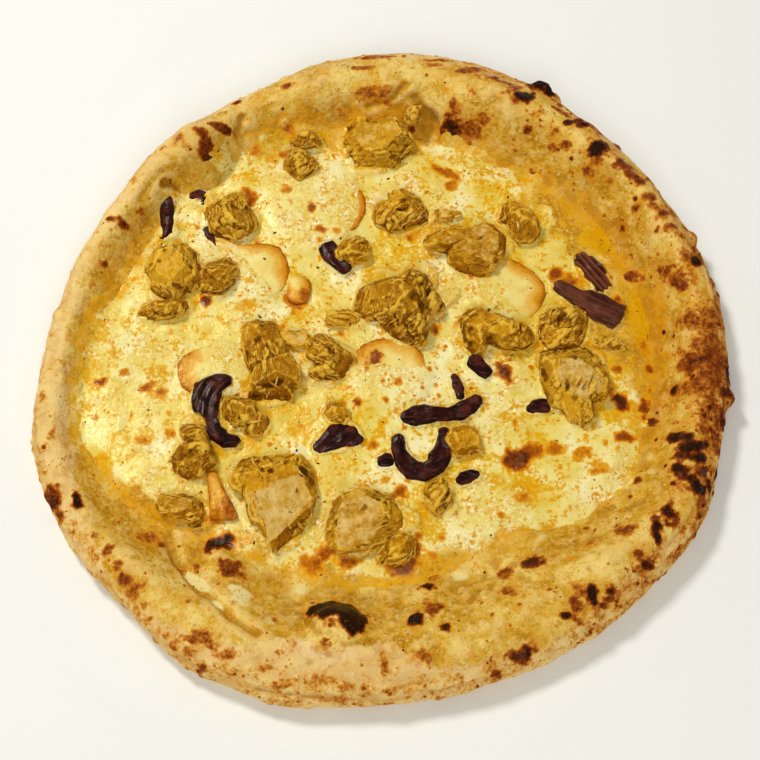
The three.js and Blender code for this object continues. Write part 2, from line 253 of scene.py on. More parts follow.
crust_bumps = standing_out(crust_mesh, 12, 0.5)
print("the smooth crust has hollows of", crust_bumps.min().round(2), "and crests of",
      crust_bumps.max().round(2))

# %% [markdown]
# Noise is what makes food look like food. This one keeps a block of random numbers and
# blends between the eight nearest to each point. Several sizes of it, added up, give
# lumps with smaller lumps on them.

# %% Noise helpers
def step(low, high, value):
    """0 below low, 1 above high, and a smooth way between them."""
    t = np.clip((value - low) / (high - low), 0, 1)
    return t * t * (3 - 2 * t)


NOISE_CELLS = 64
noise_blocks = {}


def noise(points, size, seed):
    """Smooth noise from -1 to 1 whose lumps are about size mm across."""
    if seed not in noise_blocks:
        draw = np.random.default_rng(seed)
        noise_blocks[seed] = draw.uniform(-1, 1, (NOISE_CELLS, NOISE_CELLS, NOISE_CELLS))
    block = noise_blocks[seed]
    place = points / size
    corner = np.floor(place).astype(int)
    blend = place - corner
    blend = blend * blend * (3 - 2 * blend)
    total = np.zeros(len(points))
    for i in (0, 1):
        for j in (0, 1):
            for k in (0, 1):
                x, y, z = ((corner + (i, j, k)) % NOISE_CELLS).T
                share = np.abs(1 - np.array((i, j, k)) - blend).prod(axis=1)
                total += share * block[x, y, z]
    return total


def lumps(points, size, seed, octaves=3):
    """Noise on noise: each octave is half as large and half as high as the last."""
    return sum(noise(points, size / 2**k, seed + k) / 2**k for k in range(octaves))


def by_direction(values, points):
    """Values given for even directions around the pizza, read off at each point."""
    turn = np.degrees(np.arctan2(points[:, 1], points[:, 0])) % 360
    return np.interp(turn, np.arange(len(values) + 1) * 360 / len(values), values + values[:1])


def out_from_middle(points):
    return np.hypot(points[:, 0], points[:, 1])


def along_and_across(offset, turn):
    """Distances along a way on the plan, given in degrees, and across it."""
    angle = math.radians(turn)
    along = offset[:, 0] * math.cos(angle) + offset[:, 1] * math.sin(angle)
    across = offset[:, 1] * math.cos(angle) - offset[:, 0] * math.sin(angle)
    return along, across


crust_points = read_points(crust_mesh)
print("lumps of 30 mm reach", lumps(crust_points, 30, 21).max().round(2))

# %% [markdown]
# ## Tools for materials
#
# Colours are written as the picture shows them, from 0 to 255. Blender works with light, so
# they are turned into its linear numbers first.

# %% Colours
def picture_colour(red, green, blue):
    """A colour of the picture in Blender's linear numbers."""
    shares = [c / 255 for c in (red, green, blue)]
    return [s / 12.92 if s <= 0.04045 else ((s + 0.055) / 1.055) ** 2.4 for s in shares] + [1]


OIL_TINT = (1.0, 0.8, 0.46, 1.0)     # oil on the food tints its gloss
BUTTER_TINT = (1.0, 0.92, 0.64, 1.0)
NO_TINT = (1.0, 1.0, 1.0, 1.0)
GLOW_SPREAD = (1.0, 0.6, 0.25)       # red light goes farthest into food
# the first three colours of browning: tan, toasted and brown
BREAD_BROWNS = ((224, 156, 36), (182, 100, 20), (132, 58, 10))
CHEESE_BROWNS = ((226, 150, 0), (192, 106, 0), (148, 66, 0))
print("tan in linear numbers:", [round(c, 3) for c in picture_colour(*BREAD_BROWNS[0])])

# %% [markdown]
# A `Finish` builds the node tree of one material. Each of its methods adds a node or two and
# gives back the socket that comes out, so that a material reads as a recipe. Every finish
# has the same four sizes of noise, so where two pieces meet, their colours meet too.

# %% Finishes
class Finish:
    def __init__(self, name):
        self.material = bpy.data.materials.new(name)
        self.material.use_nodes = True
        self.tree = self.material.node_tree
        self.shader = self.tree.nodes["Principled BSDF"]
        self.place = self.node("ShaderNodeTexCoord").outputs["Object"]
        self.broad = self.noise(16, detail=4)
        self.middling = self.noise(5, detail=4, roughness=0.6)
        self.fine = self.noise(1.7, detail=3, roughness=0.65)
        self.grain = self.noise(0.7, detail=2)

    def node(self, kind, inputs=None, **settings):
        """A new node. An input is a socket of another node, or a value of its own."""
        made = self.tree.nodes.new(kind)
        for name, value in settings.items():
            setattr(made, name, value)
        self.feed(made, inputs or {})
        return made

    def feed(self, node, inputs):
        for name, value in inputs.items():
            if isinstance(value, bpy.types.NodeSocket):
                self.tree.links.new(value, node.inputs[name])
            elif value is not None:
                node.inputs[name].default_value = value

    def painted(self, name, output="Fac"):
        """A number kept at each point of the mesh, or three with the output Vector."""
        return self.node("ShaderNodeAttribute", attribute_name=name).outputs[output]

    def noise(self, size, detail=3, roughness=0.55, place=None):
        """Noise with lumps about size mm across."""
        scale = 1 / (size * MM) if place is None else 1 / size
        made = self.node("ShaderNodeTexNoise", {"Vector": place or self.place, "Scale": scale,
                                                "Detail": detail, "Roughness": roughness})
        return made.outputs["Fac"]

    def maths(self, operation, a, b):
        return self.node("ShaderNodeMath", {0: a, 1: b}, operation=operation).outputs[0]

    def times(self, a, b):
        return self.maths("MULTIPLY", a, b)

    def between(self, value, low, high, to_low=0.0, to_high=1.0):
        """to_low at low and to_high at high, with a smooth way between."""
        made = self.node("ShaderNodeMapRange", {
            "Value": value, "From Min": low, "From Max": high, "To Min": to_low,
            "To Max": to_high}, interpolation_type="SMOOTHSTEP")
        return made.outputs["Result"]

    def ragged(self, value, amount):
        """The value with noise added, so that an edge drawn on it is uneven."""
        rough = self.maths("ADD", self.between(self.fine, 0.25, 0.75, -amount, amount),
                           self.between(self.middling, 0.25, 0.75, -amount, amount))
        return self.maths("ADD", value, rough)

    def spots(self, size, largest, amount):
        """Spots, at most one to each cell of size mm, with a radius up to largest cells."""
        cells = self.node("ShaderNodeTexVoronoi", {"Vector": self.place, "Scale": 1 / (size * MM)})
        luck = self.node("ShaderNodeSeparateColor", {"Color": cells.outputs["Color"]})
        radius = self.between(luck.outputs["Green"], 0.0, 1.0, largest * 0.3, largest)
        wavy = self.maths("ADD", cells.outputs["Distance"],
                          self.between(self.fine, 0.25, 0.75, -largest * 0.35, largest * 0.35))
        inside = self.between(wavy, radius, self.times(radius, 0.5))
        chosen = self.maths("LESS_THAN", luck.outputs["Red"], amount)
        return self.times(inside, chosen)

    def shades(self, value, *stops):
        """Colours along a scale: each stop is a place from 0 to 1 and a colour."""
        made = self.node("ShaderNodeValToRGB", {"Fac": value})
        ramp = made.color_ramp
        while len(ramp.elements) < len(stops):
            ramp.elements.new(0.5)
        for element, (at, colour) in zip(ramp.elements, stops):
            element.position = at
            element.color = picture_colour(*colour)
        return made.outputs["Color"]

    def cover(self, under, over, amount):
        """The colour over laid on the colour under, by an amount from 0 to 1."""
        under, over = [picture_colour(*c) if isinstance(c, tuple) else c for c in (under, over)]
        made = self.node("ShaderNodeMix", {"Factor": amount, 6: under, 7: over}, data_type="RGBA")
        return made.outputs[2]

    def lay(self, under, over, value, low, high, most=1.0):
        """Lays a colour on another where the value is high: not at low, and by most at high."""
        return self.cover(under, over, self.between(value, low, high, 0.0, most))

    def layers(self, colour, *rows):
        """Lays on one colour after another: each row is what lay takes after under."""
        for row in rows:
            colour = self.lay(colour, *row)
        return colour

    def browned(self, colour, amount, stages=BREAD_BROWNS):
        """Toast on a colour: tan, then brown, then dark, then black as the amount grows."""
        tan, toast, brown = stages
        return self.layers(
            colour, (tan, amount, 0.06, 0.18, 0.7), (toast, amount, 0.16, 0.32, 0.85),
            (brown, amount, 0.3, 0.48, 0.95), ((80, 28, 4), amount, 0.48, 0.68, 0.95),
            ((38, 13, 4), amount, 0.68, 0.88))

    def bump(self, height, depth, under=None):
        """Relief too fine for the mesh, depth mm from its lowest to its highest."""
        made = self.node("ShaderNodeBump", {"Distance": depth * MM, "Height": height, "Normal": under})
        return made.outputs["Normal"]

    def finish(self, colour, roughness, normal, shine=0.3, tint=OIL_TINT, glow=0.0,
               glow_depth=1.0):
        """Joins the recipe to the shader. glow is the light that gets in and out again."""
        self.feed(self.shader, {
            "Base Color": colour, "Roughness": roughness, "Normal": normal,
            "Specular IOR Level": shine, "Specular Tint": tint, "Subsurface Weight": glow,
            "Subsurface Radius": GLOW_SPREAD, "Subsurface Scale": glow_depth * MM})
        return self.material


# %% [markdown]
# Oily dough is wanted twice: as the inner skin of the crust, and below the clear edge of
# the cheese. So its colour is a recipe of its own.

# %% Golden dough
def golden_dough(finish):
    """Dough that oil and pesto have run over: golden, with yellow pools and orange drops."""
    colour = finish.shades(finish.broad, (0.36, (198, 142, 16)), (0.5, (219, 170, 44)),
                           (0.62, (240, 208, 108)))
    pools = finish.noise(5, detail=5, roughness=0.65)
    colour = finish.layers(
        colour, ((244, 218, 132), finish.middling, 0.54, 0.64, 0.7),
        ((224, 162, 2), pools, 0.52, 0.64, 0.5),
        ((160, 104, 6), finish.middling, 0.44, 0.34, 0.35),
        ((250, 226, 150), finish.fine, 0.53, 0.66, 0.6),
        ((172, 118, 18), finish.fine, 0.46, 0.33, 0.55))
    drops = finish.times(finish.spots(7, 0.3, 0.4), 0.75)
    colour = finish.cover(colour, (234, 140, 2), drops)
    herbs = finish.times(finish.spots(3, 0.16, 0.5), 0.7)
    return finish.cover(colour, (120, 80, 12), herbs)


dough = Finish("baked dough")
golden = golden_dough(dough)
print("nodes for the golden dough:", len(dough.tree.nodes))

# %% [markdown]
# ## The bread crust
#
# A crust from a very hot oven has three skins. Its outer side is dry and floury. Its
# inner side and the top are golden where oil has run. Where bubbles stood nearest to the
# fire they are toasted or burnt. Much of this depends on how far in from the outline a
# point lies, so that is worked out first, for each direction around the pizza.

# %% Outline of the crust
on_crust = places_on(crust_mesh)


def reach_by_angle(points, directions):
    """How far a set of points reaches in each direction, as a function of the angle."""
    angle = np.arctan2(points[:, 1], points[:, 0]) % (2 * math.pi)
    part = (angle / (2 * math.pi) * directions).astype(int) % directions
    reach = np.zeros(directions)
    np.maximum.at(reach, part, out_from_middle(points))
    reach = sum(np.roll(reach, k) for k in (-1, 0, 1)) / 3
    at = (np.arange(directions) + 0.5) / directions * 2 * math.pi
    return lambda a: np.interp(a % (2 * math.pi), at, reach, period=2 * math.pi)


crust_reach = reach_by_angle(crust_points, 120)


def in_from_outline(points):
    """How far each point is inside the crust's outline, in mm."""
    return crust_reach(np.arctan2(points[:, 1], points[:, 0])) - out_from_middle(points)


print("farthest in from the outline:", in_from_outline(crust_points).max().round(1), "mm")

# %% [markdown]
# Marks with a name come as lists. Each gives the pixel where the picture shows the mark,
# then its length, width and turn on the real pizza, and how strong it is.

# %% Marks on the crust
# column, row, length, width, turn, and burn: 0.3 is toasted, 0.6 dark brown, 1 black
CRUST_MARKS = [
    (204, 146, 15, 8, 100, 0.62), (207, 156, 10, 7, 60, 0.66), (222, 128, 14, 5, -3, 0.62),
    (236, 102, 6, 3, 0, 0.6), (140, 211, 5, 4, 0, 0.45), (111, 220, 4, 3, 20, 0.6),
    (122, 223, 5, 5, 0, 0.6), (105, 264, 5, 4, 0, 0.5), (96, 351, 4, 4, 0, 0.55),
    (112, 349, 3, 3, 0, 0.5), (135, 180, 5, 4, 0, 0.3), (101, 245, 6, 3, 80, 0.3),
    (92, 288, 7, 4, 90, 0.2), (41, 398, 6, 4, 90, 0.3), (52, 432, 7, 4, 100, 0.25),
    (52, 500, 13, 8, 105, 0.66), (58, 515, 8, 6, 120, 0.5), (77, 501, 11, 4, 105, 0.9),
    (107, 552, 8, 5, 50, 0.45), (117, 567, 5, 5, 0, 0.45), (135, 590, 9, 6, 20, 0.4),
    (95, 535, 5, 4, 0, 0.35), (150, 540, 12, 8, 20, 0.35), (160, 545, 5, 4, 0, 0.45),
    (218, 546, 12, 8, 10, 0.85), (231, 572, 13, 10, -30, 0.55), (200, 637, 13, 7, 10, 0.42),
    (212, 645, 6, 5, 0, 0.4), (202, 667, 6, 5, 0, 0.5), (190, 650, 7, 4, 0, 0.3),
    (333, 612, 22, 13, -8, 1.3), (352, 624, 12, 11, -30, 1.15), (427, 588, 7, 6, 0, 0.95),
    (415, 621, 9, 7, 60, 1.05), (432, 609, 10, 8, 40, 0.5), (446, 628, 5, 4, 0, 0.85),
    (425, 657, 9, 6, 0, 0.35), (384, 665, 4, 9, 0, 0.4), (430, 575, 12, 9, 0, 0.3),
    (282, 685, 9, 4, 0, 0.35), (325, 682, 12, 5, 4, 0.3), (345, 688, 12, 4, 4, 0.25),
    (531, 563, 11, 7, 20, 0.72), (505, 575, 8, 11, 0, 0.45), (507, 590, 7, 6, 0, 0.4),
    (522, 654, 12, 7, 15, 0.7), (566, 616, 7, 4, -5, 0.95), (593, 597, 5, 8, 0, 1.0),
    (612, 590, 5, 5, 0, 0.8), (604, 606, 7, 4, 20, 0.6), (577, 588, 7, 7, 0, 0.42),
    (572, 600, 5, 4, 0, 0.5), (495, 672, 5, 4, 0, 0.6), (622, 530, 9, 8, 0, 0.52),
    (590, 545, 9, 8, 0, 0.3), (656, 532, 5, 13, 0, 0.8), (668, 513, 5, 9, 0, 0.9),
    (647, 565, 5, 5, 0, 0.75), (697, 489, 9, 7, 30, 0.95), (680, 471, 9, 7, -10, 0.95),
    (676, 438, 12, 6, -20, 0.85), (692, 447, 12, 8, -10, 0.95), (684, 456, 8, 4, 0, 0.75),
    (705, 470, 6, 9, 20, 0.7), (700, 500, 8, 8, 20, 0.6), (716, 440, 5, 16, 10, 0.5),
    (700, 360, 24, 11, 5, 0.5), (700, 384, 20, 12, 5, 0.42), (698, 360, 8, 5, 0, 0.7),
    (692, 322, 9, 12, 0, 0.45), (680, 280, 8, 12, 20, 0.5), (668, 268, 7, 8, 20, 0.55),
    (727, 392, 8, 8, 0, 0.7), (722, 420, 4, 14, 0, 0.6), (632, 277, 11, 7, 10, 0.5),
    (598, 147, 10, 8, 10, 1.0), (596, 162, 7, 5, 0, 0.45), (582, 125, 9, 6, -40, 0.75),
    (576, 110, 12, 6, -30, 0.55), (569, 122, 4, 4, 0, 0.85), (524, 97, 11, 7, 20, 1.0),
    (512, 90, 12, 5, 20, 0.4), (540, 113, 7, 5, 0, 0.35), (552, 132, 6, 5, 0, 0.45),
    (552, 148, 5, 4, 0, 0.45), (565, 146, 6, 4, 0, 0.45), (590, 170, 9, 6, 0, 0.35),
    (623, 165, 9, 7, -40, 0.6), (636, 180, 9, 6, -40, 0.55), (650, 198, 8, 6, -30, 0.5),
    (610, 180, 5, 4, 0, 0.4), (662, 215, 7, 5, 0, 0.5), (638, 206, 4, 4, 0, 0.55),
    (375, 57, 20, 5, 0, 0.42), (362, 68, 14, 4, 0, 0.45), (435, 65, 10, 4, 0, 0.4),
    (470, 70, 18, 5, 10, 0.45), (490, 78, 10, 4, 20, 0.5), (287, 85, 7, 4, 20, 0.5),
    (325, 60, 5, 4, 0, 0.6), (450, 128, 8, 9, -60, 0.85), (470, 130, 14, 10, 0, 0.42),
    (480, 118, 10, 8, 0, 0.35), (372, 92, 18, 6, 8, 0.35), (455, 108, 8, 9, 0, 0.4),
    (531, 176, 5, 5, 0, 0.5), (538, 82, 12, 12, 0, 1.2), (549, 92, 8, 7, 0, 1.2),
    (699, 243, 10, 8, 0, 1.1), (720, 300, 8, 14, 20, 0.4), (688, 255, 7, 9, 0, 0.4),
    (689, 437, 6, 5, 20, 0.9), (701, 458, 6, 6, 0, 0.9), (690, 478, 5, 5, 0, 0.8),
    (709, 485, 4, 7, 0, 0.8), (712, 360, 8, 16, 0, 0.5), (716, 376, 6, 12, 0, 0.55),
    (705, 345, 12, 6, 0, 0.4), (690, 372, 10, 6, 0, 0.4), (560, 110, 16, 3, -30, 0.5),
    (600, 150, 14, 3, -40, 0.5), (630, 172, 14, 3, -45, 0.45), (655, 208, 12, 3, -50, 0.4),
    (440, 60, 16, 3, 5, 0.35), (500, 82, 14, 3, -15, 0.45), (675, 520, 5, 8, 0, 0.6),
    (640, 556, 8, 5, 0, 0.5), (610, 600, 8, 4, 0, 0.6), (580, 622, 6, 4, 0, 0.5),
    (180, 140, 7, 5, 0, 0.3), (165, 150, 4, 3, 0, 0.35), (228, 655, 9, 5, 0, 0.32),
    (262, 668, 8, 4, 0, 0.3),
]
print("marks on the crust:", len(CRUST_MARKS))

# %% [markdown]
# Two more lists shape the dough. Swellings are soft bumps, such as the large blister at the
# near side. Folds are creases that run through a few points, where the dough was laid over.

# %% Swellings and folds of the crust
# column, row, radius and height: soft swellings, and hollows where the height is below 0
CRUST_SWELLINGS = [
    (338, 624, 15, 4.6), (196, 150, 19, 3.4), (457, 650, 9, 1.2), (225, 565, 18, 3.0),
    (530, 535, 13, 1.8), (600, 560, 16, 1.2), (120, 560, 16, 1.4), (415, 618, 8, 1.2),
    (500, 100, 16, 1.4), (590, 130, 14, 1.2), (655, 230, 16, 1.4), (690, 330, 14, 1.2),
    (400, 75, 18, 1.2), (280, 100, 18, -1.4), (345, 112, 12, -2.0), (428, 122, 9, -4.0),
    (460, 108, 14, 2.4), (205, 645, 14, 1.0), (60, 400, 14, 0.8), (90, 300, 15, 0.9),
    (390, 92, 9, 1.6), (130, 505, 18, 1.4), (245, 145, 10, -2.4), (505, 130, 16, 1.2),
    (432, 590, 10, 1.0), (506, 580, 9, 0.8), (680, 455, 10, 0.8), (480, 640, 18, 1.0),
]
# folds: how deep, how wide, and the pixels that each runs through
CRUST_FOLDS = [
    (2.6, 2.2, (145, 515), (167, 533), (176, 560), (200, 588), (233, 617), (256, 632)),
    (3.0, 2.4, (243, 118), (236, 140), (236, 165), (220, 182), (196, 189), (165, 183)),
    (1.8, 2.0, (368, 106), (388, 100), (405, 86)),
    (2.0, 2.4, (414, 96), (430, 118), (443, 140)),
    (1.0, 2.0, (140, 200), (150, 185), (172, 160), (180, 135)),
    (1.2, 2.0, (470, 600), (497, 548), (560, 524), (640, 500)),
    (0.9, 1.8, (300, 612), (316, 632), (345, 645), (372, 640)),
    (0.9, 1.6, (640, 575), (670, 545), (700, 505)),
    (0.8, 1.5, (560, 640), (610, 622), (650, 590)),
    (0.8, 1.5, (255, 690), (330, 700), (420, 698)),
]
print("swellings:", len(CRUST_SWELLINGS), "folds:", len(CRUST_FOLDS))

# %% [markdown]
# Each kind of mark has a function that turns its list into one number for each point. It is
# told how to find a pixel's place, so that the same function serves the cheese and the
# toppings later. The edge of a mark is ragged, but a large mark keeps a whole middle.

# %% From lists to numbers
RAGGED_BELOW = 9             # marks that are longer, in mm, have a whole middle


def mark_distance(points, place, length, width, turn):
    """0 at the middle of an oval mark and 1 at its edge."""
    offset = points - place
    along, across = along_and_across(offset, turn)
    return np.sqrt((along / (length / 2)) ** 2 + (across / (width / 2)) ** 2
                   + (offset[:, 2] / max(length, width)) ** 2)


def paint_marks(points, marks, find, unevenness=1.0):
    """The strongest burn at each point, fading out over the edge of each mark."""
    burn = np.zeros(len(points))
    wander = unevenness * (0.45 * noise(points, 3.4, 11) + 0.35 * noise(points, 1.6, 12))
    for column, row, length, width, turn, strength in marks:
        place = find(column, row)
        if place is None:
            continue
        near = np.abs(points - place).max(axis=1) < max(length, width) * 1.2
        fineness = min(1, RAGGED_BELOW / max(length, width))
        distance = mark_distance(points[near], place, length, width, turn)
        core = 0.9 - 0.6 * fineness
        faded = step(core, core + 1.2 * fineness, distance + fineness * wander[near])
        burn[near] = np.maximum(burn[near], strength * (1 - faded))
    return burn


def swell(points, swellings, find):
    """How far the swellings push each point out."""
    height = np.zeros(len(points))
    for column, row, radius, rise in swellings:
        place = find(column, row)
        if place is not None:
            distance = np.linalg.norm(points - place, axis=1) / radius
            height += rise * np.clip(1 - distance**2, 0, 1) ** 2
    return height


def fold(points, folds, find):
    """How far the folds pull each point in."""
    depth = np.zeros(len(points))
    for deep, wide, *pixels in folds:
        corners = [find(*pixel) for pixel in pixels]
        for start, end in zip(corners, corners[1:]):
            if start is None or end is None:
                continue
            run = end - start
            share = np.clip((points - start) @ run / (run @ run), 0, 1)
            gap = np.linalg.norm(points - start - share[:, None] * run, axis=1)
            depth = np.maximum(depth, deep * np.exp(-((gap / wide) ** 2)))
    return depth


burn = paint_marks(crust_points, CRUST_MARKS, on_crust)
print("points that are burnt:", int((burn > 0.5).sum()))

# %% [markdown]
# Between the named marks lie hundreds of small blisters that have no name. They are
# strewn over the rim by a seeded draw, each a low dome with a toasted top. The number at
# the end of a draw is its seed, so every run gives the same pizza. The outer side of the
# rim also has fine wrinkles that run around it, where the dough rose and sank back.

# %% Crust relief
BLISTERS = 520
BLISTER_RADIUS = (1.2, 4.2)
BLISTER_HEIGHT = 0.24        # as a share of the radius
RIM_WIDTH = 42               # from the outline to the foot of its inner side
RIM_RADIUS = 150
WRINKLE_LENGTH = 16
# toasting along the rim, for every 15 degrees from the right side, counter-clockwise
TOAST = [1.15, 1.0, 0.85, 0.85, 0.8, 0.75, 0.6, 0.3, 0.25, 0.3, 0.2, 0.2,
         0.2, 0.25, 0.4, 0.5, 0.4, 0.4, 0.4, 0.45, 0.45, 0.5, 0.8, 1.1]

inward = in_from_outline(crust_points)
outward = read_normals(crust_mesh)
on_rim = (inward < RIM_WIDTH) & (crust_points[:, 2] > 5) & (outward[:, 2] > -0.3)
draw = np.random.default_rng(5)
blister_places = crust_points[draw.choice(np.flatnonzero(on_rim), BLISTERS)]
blister_radii = BLISTER_RADIUS[0] + np.diff(BLISTER_RADIUS)[0] * draw.random(BLISTERS) ** 3
blister_toast = draw.random(BLISTERS) ** 1.6 * by_direction(TOAST, blister_places)

blister_height = np.zeros(len(crust_points))
blister_brown = np.zeros(len(crust_points))
for place, radius, toast in zip(blister_places, blister_radii, blister_toast):
    near = np.flatnonzero(np.abs(crust_points - place).max(axis=1) < radius)
    dome = np.clip(1 - (np.linalg.norm(crust_points[near] - place, axis=1) / radius) ** 2, 0, 1)
    blister_height[near] += BLISTER_HEIGHT * radius * dome**2
    blister_brown[near] = np.maximum(blister_brown[near], toast * dome)

turn = np.arctan2(crust_points[:, 1], crust_points[:, 0])
around_rim = np.stack([turn * RIM_RADIUS / WRINKLE_LENGTH, crust_points[:, 2] / 2.4,
                       inward / 5], axis=1)
side = (1 - step(3, 12, inward)) * step(1, 3, crust_points[:, 2])
free = step(1.5, 6, crust_points[:, 2]) * (1 - 0.8 * step(44, 52, inward))
relief = 1.0 * lumps(crust_points, 30, 21) + 0.4 * lumps(crust_points, 9, 31)
relief += 0.18 * lumps(crust_points, 3.4, 41, 2)
bubbly_dough = step(24, 36, inward) * (0.3 + 0.7 * step(-0.3, 0.3, noise(crust_points, 18, 47)))
relief += bubbly_dough * 0.7 * (0.5 - np.abs(lumps(crust_points, 6, 48, 2)))
relief += side * 0.55 * lumps(around_rim, 1.0, 45, 2)
relief += blister_height + swell(crust_points, CRUST_SWELLINGS, on_crust)
relief -= fold(crust_points, CRUST_FOLDS, on_crust)
relief += np.clip(burn, 0, 1) * (0.5 + 0.5 * noise(crust_points, 2.4, 51))
write_points(crust_mesh, crust_points + outward * (relief * free)[:, None])
print("relief from", round(relief.min(), 2), "to", round(relief.max(), 2), "mm")

# %% [markdown]
# Then its zones are worked out. Flour stays on the outer side, and how far in it reaches
# changes with the direction. The far and right sides were nearest to the fire, so there
# the band of toast is wide and strong.

# %% Zones of the crust
# all for every 15 degrees: where the flour begins, and how wide the toasted band is
FLOUR_FROM = [144, 145, 146, 147, 148, 149, 149, 145, 142, 138, 137, 139,
              141, 144, 149, 155, 147, 141, 139, 148, 147, 149, 151, 148]
TOAST_WIDTH = [26, 17, 13, 13, 12, 10, 10, 6, 5, 5, 5, 5,
               5, 6, 9, 12, 12, 11, 12, 12, 15, 20, 26, 28]
# how far out the oil has run, and how much of it there is
OIL_TO = [129, 130, 129, 127, 124, 124, 128, 130, 134, 130, 132, 136,
          140, 144, 140, 130, 118, 112, 112, 112, 118, 124, 128, 130]
OIL_DEPTH = [1.1, 1.3, 1.2, 0.8, 0.75, 0.9, 1.0, 1.0, 0.85, 0.7, 0.8, 0.9,
             1.0, 0.8, 0.4, 0.25, 0.3, 0.4, 0.4, 0.3, 0.4, 0.5, 0.6, 0.8]
# how many small dark freckles there are
FRECKLES = [1.0, 0.9, 0.9, 0.9, 0.9, 0.9, 0.8, 0.5, 0.5, 0.5, 0.5, 0.5,
            0.6, 0.7, 0.9, 0.9, 0.9, 0.8, 0.9, 0.9, 0.9, 0.9, 1.0, 1.0]
# pockets of white cheese on the dough: column, row, length, width, turn and amount
CHEESE_POCKETS = [
    (196, 581, 16, 4.5, -40, 1.0), (240, 592, 12, 5, -20, 0.6), (218, 604, 8, 3, -38, 0.6),
    (253, 153, 6, 4, 0, 1.0), (300, 590, 9, 8, 0, 0.4), (575, 222, 10, 9, 0, 0.5),
    (460, 575, 10, 8, 0, 0.4), (270, 620, 8, 6, 0, 0.35), (240, 600, 10, 6, -30, 0.5),
    (90, 520, 9, 6, 0, 0.3),
]

crust_now = read_points(crust_mesh)
inward = in_from_outline(crust_now)
radius = out_from_middle(crust_now)
patchy = lumps(crust_now, 22, 61)
mottle = lumps(crust_now, 6, 65)
edge_wander = 4 * patchy + 2 * mottle
flour = step(-3, 4, radius - by_direction(FLOUR_FROM, crust_now) + edge_wander)
low = 1 - step(5, 10, crust_now[:, 2])
flour = np.maximum(flour, low * step(20, 5, inward))
band = 1 - step(0.45, 1.0, inward / by_direction(TOAST_WIDTH, crust_now) + 0.2 * patchy)
band *= by_direction(TOAST, crust_now)
toast = band * (0.26 + 0.24 * np.clip(mottle + 0.4 * patchy, -1, 1)) + 0.95 * blister_brown
freckle = by_direction(FRECKLES, crust_now) * (0.7 + 0.5 * patchy)
oil = 1 - step(-9, 4, radius - by_direction(OIL_TO, crust_now) + edge_wander)
oil *= by_direction(OIL_DEPTH, crust_now)
pockets = paint_marks(crust_now, CHEESE_POCKETS, on_crust, 0.45)
freckle = np.clip(freckle * (1 - step(36, 46, inward)), 0, 1)
# the relief is kept too, for painted light on crests and painted shade in hollows
store(crust_mesh, flour=flour, oil=oil, burn=burn, toast=toast, freckle=freckle, white=pockets,
      crest=standing_out(crust_mesh, 12, 0.5))
print("floury:", round(100 * (flour > 0.5).mean()), "percent of the points")

# %% [markdown]
# The skin of the crust is painted in layers, as it was in the oven: pale flour outside,
# golden oily dough inside, then freckles, toast and char on top. Crests get a painted
# highlight and hollows a painted shade. Oil also makes the skin shine, and flour makes
# it dull.

# %% Crust finish
flour_here = dough.ragged(dough.painted("flour"), 0.22)
dry = dough.shades(dough.broad, (0.32, (218, 173, 102)), (0.5, (231, 192, 122)), (0.68, (240, 208, 150)))
dry = dough.layers(
    dry, ((204, 142, 78), dough.middling, 0.52, 0.7, 0.5),
    ((250, 228, 184), dough.fine, 0.52, 0.7, 0.5))
pale_patches = dough.noise(7, detail=5, roughness=0.65)
oiled = dough.ragged(dough.painted("oil"), 0.3)
crest = dough.painted("crest")
skin = dough.layers(
    golden, (dry, flour_here, 0.3, 0.7),
    ((240, 208, 118), pale_patches, 0.52, 0.64, 0.55),
    ((222, 154, 0), oiled, 0.35, 1.0, 0.8),
    # painted light and shade: paler on crests, darker in hollows
    ((252, 224, 146), crest, 0.55, 0.85, 0.5),
    ((176, 118, 12), crest, 0.45, 0.15, 0.6),
    ((244, 230, 160), dough.painted("white"), 0.15, 0.5, 0.95))
freckled = dough.painted("freckle")
small_spots = dough.times(dough.spots(3.2, 0.4, dough.times(freckled, 0.35)), 0.3)
blotches = dough.between(dough.noise(6, detail=5, roughness=0.72), 0.57, 0.67, 0.0, 0.34)
blotches = dough.times(blotches, freckled)
baked = dough.maths("ADD", dough.painted("toast"), dough.maths("MAXIMUM", small_spots, blotches))
baked = dough.ragged(dough.maths("MAXIMUM", baked, dough.painted("burn")), 0.13)
skin = dough.browned(skin, baked)
skin = dough.lay(skin, (246, 226, 180), dough.grain, 0.62, 0.78, 0.22)
dull = dough.between(flour_here, 0.2, 0.8, 0.22, 0.85)
pores = dough.bump(dough.fine, 0.8)
powder = dough.bump(dough.grain, 0.22, pores)
baked_dough = dough.finish(skin, dull, powder, shine=0.1, glow=0.03, glow_depth=2.0)
add_piece("bread_crust", crust_mesh, baked_dough, "baked_dough", "crust")
print("crust faces:", len(crust_mesh.polygons))

# %% [markdown]
# ## Where the toppings lie
#
# Melted cheese climbs a little way up whatever lies in it, so the fine copies of the
# toppings are made before the cheese. Their plan is drawn on a grid and blurred, which
# gives a number that grows near each of them.

# %% Fine toppings
TOPPING_KINDS = ("slice", "chicken", "onion")
TOPPING_FACE = {"slice": 0.7, "chicken": 0.5, "onion": 0.5}
TOPPING_SMOOTHING = {"slice": 12, "chicken": 5, "onion": 3}
TOPPING_CLOSING = {"slice": 0, "chicken": 0.9, "onion": 0}


def kind_of(node):
    return next((kind for kind in TOPPING_KINDS if node.startswith(kind)), None)


topping_meshes = {}
for node in sorted(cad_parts):
    kind = kind_of(node)
    if kind:
        topping_meshes[node] = fine_copy(node, TOPPING_FACE[kind], TOPPING_SMOOTHING[kind],
                                         closing=TOPPING_CLOSING[kind])
names_of = {}
for kind in TOPPING_KINDS:
    names_of[kind] = [node for node in topping_meshes if kind_of(node) == kind]
    print(kind, len(names_of[kind]))

# %% [markdown]
# The plan is a square grid seen from above. Blurring it twice, by a little and by more,
# gives one number that is high beside a topping and one that is high around it.

